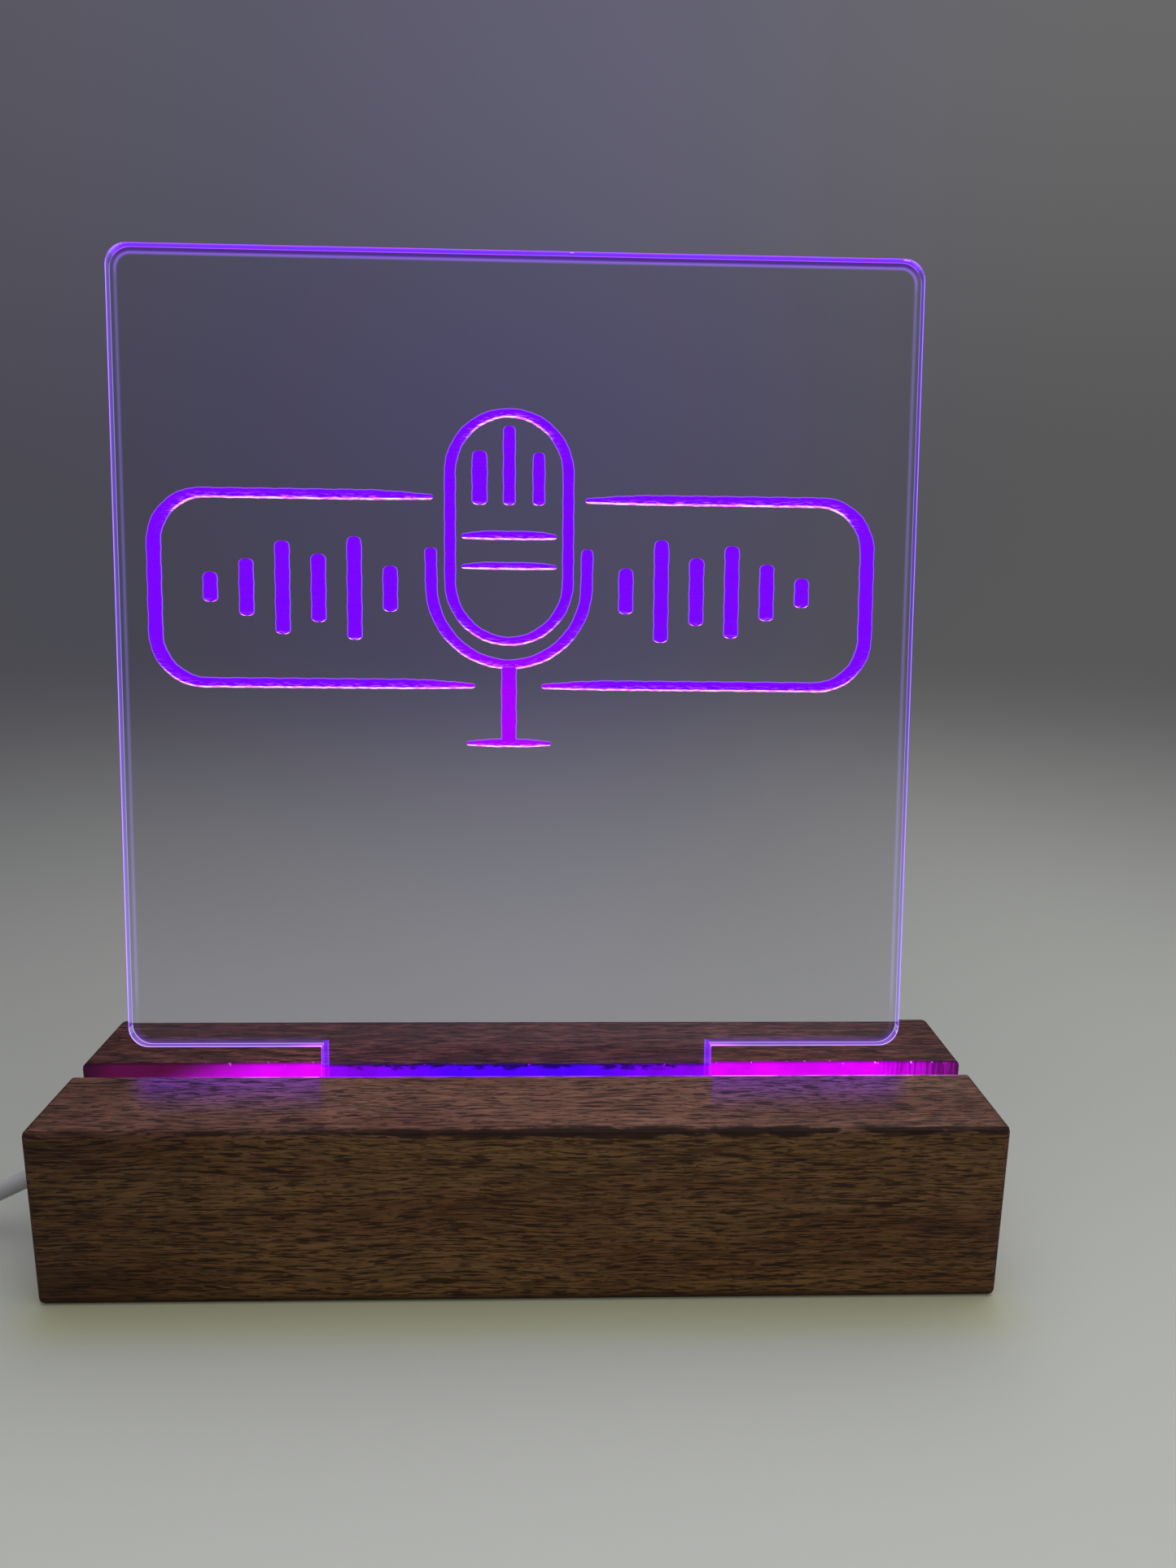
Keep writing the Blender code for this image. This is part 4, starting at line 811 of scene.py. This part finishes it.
out = np.array(SWITCH_EXIT)
plug = np.array(PLUG_CABLE_END)
before_plug = plug - (LEAD_DIAMETER, 0.0, 0.0)
to_plug = smooth_line(np.vstack([out - grip, out, out + grip, PLUG_KNOTS, before_plug, plug]), LEAD_STEP)
lead_to_plug = lead_piece("lead_to_plug", to_plug)
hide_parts("cord_end")
plug_contacts = [f"plug_contact_{i}" for i in range(1, 5)]
dress(plastic("plug_plastic", (0.56, 0.57, 0.58), 0.45, 0.06, 3500.0, 0.00002), "plug_grip")
dress(metal("plated_steel", (0.66, 0.66, 0.64), 0.30, (0.0040, 0.0001, 0.0001)), "plug_shell")
dress(plastic("tongue_plastic", (0.03, 0.03, 0.032), 0.45), "plug_tongue")
dress(metal("gold_plate", (0.85, 0.62, 0.26), 0.20, (0.0020, 0.0001, 0.0001)), *plug_contacts)


# The panel is clear cast acrylic, 3 mm thick and cut by laser. Light that enters at the tab leaves at the
# cut
# edges, painted on as a glow: lilac lines along both arrises, and a deep violet between them at the top.
PANEL_THICKNESS = 0.0030
PANEL_LEAN_DEGREES = 6.90
PANEL_FOOT = (0.0, 0.000628, 0.0150)
SHOULDER_LEVEL = 0.0184
TOP_LEVEL = 0.1469
CORNER_RADIUS = 0.0033
EDGE_INSET = 0.0006
TAB_HALF_WIDTH = (TAB_RIGHT - TAB_LEFT) / 2
ACRYLIC_TINT = (0.84, 0.83, 0.88, 1.0)
ACRYLIC_IOR = 1.49
REFLECTED = (0.35, 0.35, 0.35, 1.0)
HAZE_GLOW_VIOLET = (0.12, 0.00, 1.00)
HAZE_MIDDLE = (-0.003, 0.0, 0.100)
HAZE_REACH = (0.075, 0.010)
SCRATCH_SCALE = (90.0, 1.0, 2600.0)
SCRATCH_TURN = (0.0, 0.5, 0.0)
CUT_MARK_SCALE = (5000.0, 60.0, 5000.0)
CHIP_SCALE = 260.0

# The cut edge's painted glow by place: at the sides, the top, the two shoulders and the tab
FRONT_LINES = ((0.50, 0.22, 1.70), (0.26, 0.00, 1.40), (0.88, 0.38, 1.42), (0.90, 0.04, 1.15))
BACK_LINES = ((0.21, 0.20, 0.38), (0.42, 0.06, 1.40), (0.50, 0.34, 0.78), (0.34, 0.02, 1.30))
BETWEEN = ((0.045, 0.00, 0.29), (0.11, 0.00, 0.80), (0.10, 0.045, 0.25), (0.11, 0.00, 0.75))
EDGE_MAGENTA = (1.00, 0.05, 1.20)
EDGE_PINK = (1.00, 0.45, 0.80)
TAB_GLOW_REACH = (0.0430, 0.0330)
FRONT_LINE_DEPTHS = (0.26, 0.08)
BACK_LINE_DEPTHS = (0.80, 0.92)

# What shows of the cut edge in the back face, just inside the outline: a painted shade, a painted glow and
# a painted reflection
EDGE_SHADE = (0.012, 0.004, 0.100, 1.0)
EDGE_SHADE_REACH = 0.00075
EDGE_SHADE_RISE = (SHOULDER_LEVEL + 0.0010, SHOULDER_LEVEL + 0.0030)
EDGE_GLOW = (0.055, 0.020, 0.160)
MIRROR_TOP = (0.162, 0.066, 0.500, 1.0)
MIRROR_SIDE = (0.075, 0.052, 0.225, 1.0)
MIRROR_RISE = (0.0210, 0.0300)
MIRROR_TOP_RISE = (TOP_LEVEL - 0.0050, TOP_LEVEL - 0.0025)
MIRROR_INSET = 0.00080
MIRROR_HALF_WIDTH = 0.00044
MIRROR_TAB = (0.11, 0.00, 0.70)
MIRROR_TAB_LINE = (0.22, 0.00, 0.90)
MIRROR_TAB_INSET = 0.00075
MIRROR_TAB_LINE_WIDTH = 0.00020
MIRROR_TAB_RISE = (SHOULDER_LEVEL + 0.0006, SHOULDER_LEVEL + 0.0003)

lean = math.radians(PANEL_LEAN_DEGREES)
panel_up = np.array([0.0, math.sin(lean), math.cos(lean)])
panel_front = np.array([0.0, -math.cos(lean), math.sin(lean)])

# A point's place in the panel's own frame: beside, through and up from its foot, which lies on the
# back face. Its depth runs from 0 at the front face to 1 at the back face.
material, tree, shader = new_material("clear_acrylic")
flat = mapped(object_spot(tree), "TEXTURE", Location=PANEL_FOOT, Rotation=(-lean, 0.0, 0.0))
beside, through, up = split(flat)
normal = Value(add(tree, "TexCoord").outputs["Normal"])
on_edge = below(abs(vectors("DOT_PRODUCT", normal, tuple(panel_front), output="Value")), 0.5)
on_face = 1.0 - on_edge
depth = through / PANEL_THICKNESS + 1.0
back_face = on_face * above(depth, 0.8)
above_tab = above(up, SHOULDER_LEVEL - 0.0003)
below_shoulder = 1.0 - above_tab
top = fade(up, TOP_LEVEL - CORNER_RADIUS, TOP_LEVEL - EDGE_INSET)
shoulder = fade(up, SHOULDER_LEVEL + CORNER_RADIUS, SHOULDER_LEVEL + EDGE_INSET) * above_tab
from_tab = abs(beside - TAB_MIDDLE)
near_tab = fade(from_tab, *TAB_GLOW_REACH) ** 3.0


def by_place(*colours):
    """A colour of the cut edge's painted glow by its place: at the sides, the top, the two shoulders and
    the tab.
    """
    side, at_top, at_shoulder, at_tab = ((*colour, 1.0) for colour in colours)
    tone = mixed(top, side, at_top)
    return mixed(below_shoulder, mixed(shoulder, tone, at_shoulder), at_tab)


# Chips in the top and shoulder edges carry a painted pink glow
glowing_chips = fade(noise(flat, CHIP_SCALE, 2.0), 0.73, 0.75) * larger(top, shoulder) * fade(depth, 0.45, 0.30)
edge_light = total(
    scaled(by_place(*FRONT_LINES), fade(depth, *FRONT_LINE_DEPTHS)),
    scaled(by_place(*BACK_LINES), fade(depth, *BACK_LINE_DEPTHS)),
    scaled(by_place(*BETWEEN), 1.0),
    scaled(EDGE_MAGENTA, near_tab * shoulder * fade(depth, 1.0, 0.0, 0.0, 0.9)),
    scaled(EDGE_PINK, glowing_chips),
)
corner_dim = 1.0 - top * (1.0 - top) * 3.0
# A faint violet glow is painted in the faces, strongest near the engraving's middle
from_haze = vectors("DISTANCE", flat, HAZE_MIDDLE, output="Value")
haze_glow = on_face * fade(from_haze, *HAZE_REACH, 0.003, 0.011)

# How far a point is inside the outline, whose corners are round: the corner radius less the signed
# distance to the rectangle between the corners' centres
panel_low, panel_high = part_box("acrylic_panel")
middle = (panel_low[0] + panel_high[0]) / 2, (SHOULDER_LEVEL + TOP_LEVEL) / 2
reach = (panel_high[0] - panel_low[0]) / 2 - CORNER_RADIUS, (TOP_LEVEL - SHOULDER_LEVEL) / 2 - CORNER_RADIUS
aside = abs(beside - middle[0]) - reach[0]
beyond = abs(up - middle[1]) - reach[1]
corner = worked("CombineXYZ", {0: larger(aside, 0.0), 1: larger(beyond, 0.0)})
from_centres = vectors("LENGTH", corner, output="Value") + smaller(larger(aside, beyond), 0.0)
inside = CORNER_RADIUS - from_centres

# The edge's mirror image is painted as a soft violet band along the outline, and as a fill with a line
# beside the tab
in_tab = TAB_HALF_WIDTH - from_tab
level = larger(fade(up, *MIRROR_RISE), fade(in_tab, 0.0, -0.0010, 0.0, 0.20))
band = fade(abs(inside - MIRROR_INSET), MIRROR_HALF_WIDTH, 0.0) * back_face * level
mirror = mixed(fade(up, *MIRROR_TOP_RISE), MIRROR_SIDE, MIRROR_TOP)
tab_band = back_face * fade(up, *MIRROR_TAB_RISE) * fade(in_tab, -0.0001, 0.0)
tab_fill = tab_band * fade(in_tab, MIRROR_TAB_INSET + 0.0002, MIRROR_TAB_INSET)
tab_line = tab_band * fade(abs(in_tab - MIRROR_TAB_INSET), MIRROR_TAB_LINE_WIDTH, 0.0)

# The painted shade runs inside the outline, but for where the tab begins, and has a sharp border at the top
open_edge = larger(above(from_tab, TAB_HALF_WIDTH), fade(up, *EDGE_SHADE_RISE))
shade = fade(inside, EDGE_SHADE_REACH, 0.0) * open_edge * fade(shoulder, 0.0, 1.0, 0.12, 1.0) * back_face
top_shade = back_face * top * fade(inside, EDGE_SHADE_REACH + 0.0001, EDGE_SHADE_REACH - 0.0001)
light = total(
    scaled(edge_light, on_edge * corner_dim),
    scaled(HAZE_GLOW_VIOLET, haze_glow),
    scaled(mirror, band),
    scaled(MIRROR_TAB, tab_fill),
    scaled(MIRROR_TAB_LINE, tab_line),
    scaled(EDGE_GLOW, top_shade + shade * 2.0),
)

scratches = noise(mapped(flat, Scale=SCRATCH_SCALE, Rotation=SCRATCH_TURN), 1.0, 1.0)
scratches = fade(scratches, 0.80, 0.84) * on_face
cut_marks = noise(mapped(flat, Scale=CUT_MARK_SCALE), 1.0, 1.0)
acrylic_finish = {
    "Base Color": mixed(larger(shade, top_shade), ACRYLIC_TINT, EDGE_SHADE),
    "Roughness": on_edge * fade(cut_marks, 0.3, 0.7, 0.03, 0.10) + scratches * 0.2,
    "IOR": ACRYLIC_IOR,
    "Transmission Weight": 1.0,
    "Specular Tint": REFLECTED,
    "Emission Color": light,
    "Emission Strength": 1.0,
    "Normal": bump(cut_marks * on_edge + scratches, 0.06, 0.00001),
}
fill(shader, acrylic_finish)
dress(material, "acrylic_panel")
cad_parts["acrylic_panel"].visible_shadow = False


# The engraving is burned 0.3 mm into the panel's back face, line by line, and its glow where the light
# meets
# it is painted: flat violet floors, thin lilac borders, and painted pink-white highlights on the lower
# walls. It shows a plain microphone between two rows of sound-level bars, in a broken frame with rounded
# corners.
MIDDLE_X = -0.0031
ENGRAVED_DEPTH = 0.00030
ENGRAVED_PROUD = 0.00002
WALL_WIDTH = 0.00031
WALL_SHARE = 0.55
TIP_HALF_WIDTH = 0.00002
TIP_DROP = 0.6
STROKE_STEP = 0.00035
LEAST_STEPS = 24
RASTER_SCALE = (250.0, 250.0, 6250.0)
WALL_MARK_SCALE = (700.0, 700.0, 6000.0)
ENGRAVED_VIOLET = (0.205, 0.0, 1.07, 1.0)
ENGRAVED_WARM = (0.43, 0.0, 1.07, 1.0)
ENGRAVED_LILAC = (0.42, 0.20, 1.00, 1.0)
ENGRAVED_PINK = (1.25, 0.16, 1.25, 1.0)
ENGRAVED_WHITE = (1.40, 0.90, 1.40, 1.0)
FROSTED = (0.03, 0.0, 0.05)
WARM_RISE = (0.1060, 0.0900)
WARM_REACH = (0.0180, 0.0040)

# The UV map tells how far a border looks down the panel, and where it is a border at all
engraved_acrylic, tree, shader = new_material("engraved_acrylic")
spot = object_spot(tree)
along, _, up = split(spot)
lower, rim = split(Value(add(tree, "UVMap", uv_map="wall").outputs[0]))[:2]
raster = noise(mapped(spot, Scale=RASTER_SCALE), 1.0, 2.0)
wall_marks = noise(mapped(spot, Scale=WALL_MARK_SCALE), 1.0, 2.0)
floor_tone = fade(raster, 0.3, 0.7, 0.90, 1.06)
by_stem = fade(up, *WARM_RISE) * fade(abs(along - MIDDLE_X), *WARM_REACH)
floor_light = scaled(mixed(by_stem, ENGRAVED_VIOLET, ENGRAVED_WARM), floor_tone)
# Painted pink-white highlights on the walls that look down the panel
lower_wall_highlight = lower**2.0 * fade(wall_marks, 0.50, 0.66)
floor_light = mixed(lower_wall_highlight * 0.7, floor_light, ENGRAVED_PINK)
light = mixed(fade(rim, 0.35, 0.90) * 0.75, floor_light, ENGRAVED_LILAC)
pink = mixed(fade(wall_marks, 0.38, 0.60), ENGRAVED_PINK, ENGRAVED_WHITE)
facing_down = fade(lower, 0.55, 0.90) * fade(rim, 0.02, 0.20)
engraved_finish = {
    "Base Color": scaled(FROSTED, floor_tone),
    "Roughness": fade(raster, 0.3, 0.7, 0.55, 0.75),
    "Specular IOR Level": 0.05,
    "Emission Color": mixed(facing_down, light, pink),
    "Emission Strength": 1.0,
    "Normal": bump(raster, 0.3, 0.00003),
}
fill(shader, engraved_finish)


def stroke(line, half_width, closed=False, sink=1.0):
    """One engraved line: points, four-cornered faces and (lower, rim) at their corners. Its section
    is a low trapezoid on the panel's back face, at line + side * half width; the walls lean in to
    the floor, which lies deeper in the sheet. A border is lower as far as it looks down the panel."""
    padded = np.vstack([line[-1], line, line[0]]) if closed else line
    heading = np.gradient(padded, axis=0)
    heading = unit(heading[1:-1] if closed else heading)
    side = np.stack([-heading[:, 1], heading[:, 0]], axis=1)
    wall = np.minimum(WALL_WIDTH, WALL_SHARE * half_width)
    depth = ENGRAVED_DEPTH * sink * wall / WALL_WIDTH
    proud = np.full(len(line), -ENGRAVED_PROUD * sink)
    offsets = np.stack([half_width, half_width - wall, wall - half_width, -half_width], axis=1)
    depths = np.stack([proud, depth, depth, proud], axis=1)
    flat = line[:, None] + side[:, None] * offsets[..., None]
    on_panel = flat[..., :1] * (1.0, 0.0, 0.0) + flat[..., 1:] * panel_up
    points = np.array(PANEL_FOOT) + on_panel + depths[..., None] * panel_front
    narrowing = np.gradient(half_width, run_along(line))[:, None] * heading
    left_look, right_look = -unit(side - narrowing)[:, 1], unit(side + narrowing)[:, 1]
    looks_down = np.clip(np.stack([left_look, left_look, right_look, right_look], axis=1), 0.0, 1.0)
    rims = np.broadcast_to((1.0, 0.0, 0.0, 1.0), looks_down.shape)
    here = np.arange(4)
    there = (here + 1) % 4
    last = (len(line) - 1) * 4
    ends = [here[::-1], last + here]
    if closed:
        ends = np.stack([last + here, last + there, there, here], axis=1)
    faces = np.vstack([tube_faces(len(line), 4), ends])
    marks = np.stack([looks_down.reshape(-1)[faces], rims.reshape(-1)[faces]], axis=-1)
    on_back = (faces % 4 == 0).any(axis=1) & (faces % 4 == 3).any(axis=1)
    marks[on_back] = 0.0
    return points.reshape(-1, 3), faces, marks


def engrave(name, *strokes):
    """Joins strokes into one engraved piece of the panel, with its (lower, rim) marks as a UV map."""
    points, faces, marks = zip(*strokes)
    firsts = np.cumsum([0, *map(len, points[:-1])])
    faces = np.vstack([part + first for part, first in zip(faces, firsts)])
    piece = new_piece(name, np.vstack(points), faces.tolist(), engraved_acrylic, "panel")
    wall_map = piece.data.uv_layers.new(name="wall")
    wall_map.data.foreach_set("uv", np.concatenate(marks).astype(np.float32).reshape(-1))


def hand_cut(run, size):
    """A slight wander of a stroke's width, two waves along its run."""
    return size * (1.0 + 0.030 * np.sin(run * 1400.0 + 0.7) + 0.022 * np.sin(run * 3900.0))


def round_ended(line, half_width):
    """A stroke with rounded ends: in the last half width of its run, the width follows the curve
    w^3 + s^3 = 1, between a circle and a square."""
    run = run_along(line)
    short = np.clip(1.0 - np.minimum(run, run[-1] - run) / half_width, 0.0, 1.0)
    width = hand_cut(run, half_width) * np.cbrt(1.0 - short**3)
    return stroke(line, np.maximum(width, TIP_HALF_WIDTH))


def upright(line, flat, steep):
    """The half width along a line: flat where it runs level, steep where it runs up the panel."""
    return flat + (steep - flat) * np.abs(unit(np.gradient(line, axis=0))[:, 1])


def tapered(line, half_width, taper, tip, drop=TIP_DROP):
    """A stroke whose ends narrow to a tip over a length, by a quarter sine, while its lower border
    stays nearly straight."""
    run = run_along(line)
    end = np.minimum(run, run[-1] - run)
    share = np.clip(end / taper, 0.0, 1.0)
    width = hand_cut(run, half_width) * (tip + (1.0 - tip) * np.sin(share * math.pi / 2))
    short = np.clip(1.0 - end / (tip * half_width.max() + 1e-6), 0.0, 1.0)
    lowered = line.copy()
    lowered[:, 1] -= (half_width - width).clip(0.0) * drop
    return stroke(lowered, np.maximum(width * np.sqrt(1.0 - short**2), TIP_HALF_WIDTH))


def eased(*knots):
    """A line through the knots whose points lie closer together towards both ends, by a cosine."""
    line = np.array(knots)
    length = run_along(line)[-1]
    count = max(LEAST_STEPS, round(length / STROKE_STEP))
    return read_off(line, length * (1.0 - np.cos(np.linspace(0.0, math.pi, count + 1))) / 2.0)


def arc(centre, radius, start_degrees, end_degrees):
    """Points on a circle's arc."""
    reach = abs(math.radians(end_degrees - start_degrees)) * radius
    turns = np.radians(np.linspace(start_degrees, end_degrees, max(8, round(reach / STROKE_STEP)) + 1))
    return np.asarray(centre) + radius * np.stack([np.cos(turns), np.sin(turns)], axis=1)


CAPSULE_RADIUS = 0.0096
CAPSULE_HALF_WIDTHS = 0.00072, 0.00096
CAPSULE_LOW = 0.0956
CAPSULE_HIGH = 0.1129
upper = arc((MIDDLE_X, CAPSULE_HIGH), CAPSULE_RADIUS, 0.0, 180.0)
lower = arc((MIDDLE_X, CAPSULE_LOW), CAPSULE_RADIUS, 180.0, 360.0)
ring = respaced(np.vstack([upper, lower, upper[:1]]), STROKE_STEP)[:-1]
widths = hand_cut(run_along(ring), upright(ring, *CAPSULE_HALF_WIDTHS))
engrave("engraved_capsule", stroke(ring, widths, closed=True))

# Each slot: its distance from the middle, its top's level and its half width
SLOTS_LOW = 0.1079
SLOTS = ((-0.0048, 0.1165, 0.00130), (0.0, 0.1205, 0.00104), (0.0048, 0.1163, 0.00104))
slots = []
for x, high, half_width in SLOTS:
    slots.append(round_ended(eased((MIDDLE_X + x, SLOTS_LOW), (MIDDLE_X + x, high)), half_width))
engrave("engraved_slots", *slots)


def level_line(level, half_length, half_width, taper, tip, drop=TIP_DROP):
    """A level stroke across the figure's middle, with tapered ends."""
    line = eased((MIDDLE_X - half_length, level), (MIDDLE_X + half_length, level))
    return tapered(line, np.full(len(line), half_width), taper, tip, drop)


GRILLE_HALF_LENGTH = 0.0078
GRILLE_TAPER = 0.0045
GRILLE_TIP = 0.50
GRILLE_LEVELS = ((0.1031, 0.00074), (0.0982, 0.00062))
grille = []
for level, half_width in GRILLE_LEVELS:
    grille.append(level_line(level, GRILLE_HALF_LENGTH, half_width, GRILLE_TAPER, GRILLE_TIP))
engrave("engraved_grille", *grille)

YOKE_RADIUS = 0.01265
YOKE_SPREAD = 0.0001
YOKE_CENTRE_LEVEL = 0.0949
YOKE_TOP = 0.1010
YOKE_HALF_WIDTHS = 0.00078, 0.00102
bow = arc((MIDDLE_X, YOKE_CENTRE_LEVEL), YOKE_RADIUS, 180.0, 360.0)
left_tip = (MIDDLE_X - YOKE_RADIUS - YOKE_SPREAD, YOKE_TOP)
right_tip = (MIDDLE_X + YOKE_RADIUS + YOKE_SPREAD, YOKE_TOP)
yoke = eased(left_tip, *bow, right_tip)
engrave("engraved_yoke", round_ended(yoke, upright(yoke, *YOKE_HALF_WIDTHS)))

STEM_HALF_WIDTH = 0.00128
STEM_HIGH = 0.0829
STEM_LOW = 0.0696
STEM_SINK = 0.9
FOOT_LEVEL = 0.0693
FOOT_HALF_LENGTH = 0.0070
FOOT_HALF_WIDTH = 0.00070
FOOT_TAPER = 0.0050
FOOT_TIP = 0.45
FOOT_DROP = 0.3
stem = eased((MIDDLE_X, STEM_HIGH), (MIDDLE_X, STEM_LOW))
engrave("engraved_stem", stroke(stem, hand_cut(run_along(stem), STEM_HALF_WIDTH), sink=STEM_SINK))
foot = level_line(FOOT_LEVEL, FOOT_HALF_LENGTH, FOOT_HALF_WIDTH, FOOT_TAPER, FOOT_TIP, FOOT_DROP)
engrave("engraved_foot", foot)

# Each half of the frame: its side's x, its top's level, and where its top and its bottom end
FRAME_BOTTOM = 0.0789
FRAME_CORNER = 0.0080
FRAME_LEFT = -0.0603, 0.1093, -0.0154, -0.0086
FRAME_RIGHT = 0.0557, 0.1090, 0.0092, 0.0022
FRAME_HALF_WIDTHS = 0.00084, 0.00122
FRAME_TAPER = 0.0120
FRAME_TIP = 0.50


def frame_half(side_x, top, top_end, bottom_end):
    """Half of the broken frame: from the top's end along the top, round two corners at side_x, and
    back along the bottom to its end."""
    sign = math.copysign(1.0, side_x)
    centre_x = side_x - sign * FRAME_CORNER
    outward = 90.0 - sign * 90.0
    upper = arc((centre_x, top - FRAME_CORNER), FRAME_CORNER, 90.0, outward)
    lower = arc((centre_x, FRAME_BOTTOM + FRAME_CORNER), FRAME_CORNER, outward, 90.0 - sign * 180.0)
    line = eased((top_end, top), *upper, *lower, (bottom_end, FRAME_BOTTOM))
    return tapered(line, upright(line, *FRAME_HALF_WIDTHS), FRAME_TAPER, FRAME_TIP)


engrave("engraved_frame_left", frame_half(*FRAME_LEFT))
engrave("engraved_frame_right", frame_half(*FRAME_RIGHT))

BAR_HEIGHTS = (0.0048, 0.0092, 0.0150, 0.0110, 0.0166, 0.0074)
BAR_SPACING = 0.0058
BAR_HALF_WIDTH = 0.00125
BARS_LEVEL = 0.0943
BARS_LEFT_X = -0.0369
BARS_RIGHT_X = 0.0305


def sound_bars(middle_x, direction):
    """A row of upright round-ended bars of different heights, as a level meter shows."""
    bars = []
    for i, height in enumerate(BAR_HEIGHTS):
        x = middle_x + direction * (i - (len(BAR_HEIGHTS) - 1) / 2) * BAR_SPACING
        line = eased((x, BARS_LEVEL - height / 2), (x, BARS_LEVEL + height / 2))
        bars.append(round_ended(line, BAR_HALF_WIDTH))
    return bars


engrave("engraved_bars_left", *sound_bars(BARS_LEFT_X, 1.0))
engrave("engraved_bars_right", *sound_bars(BARS_RIGHT_X, -1.0))
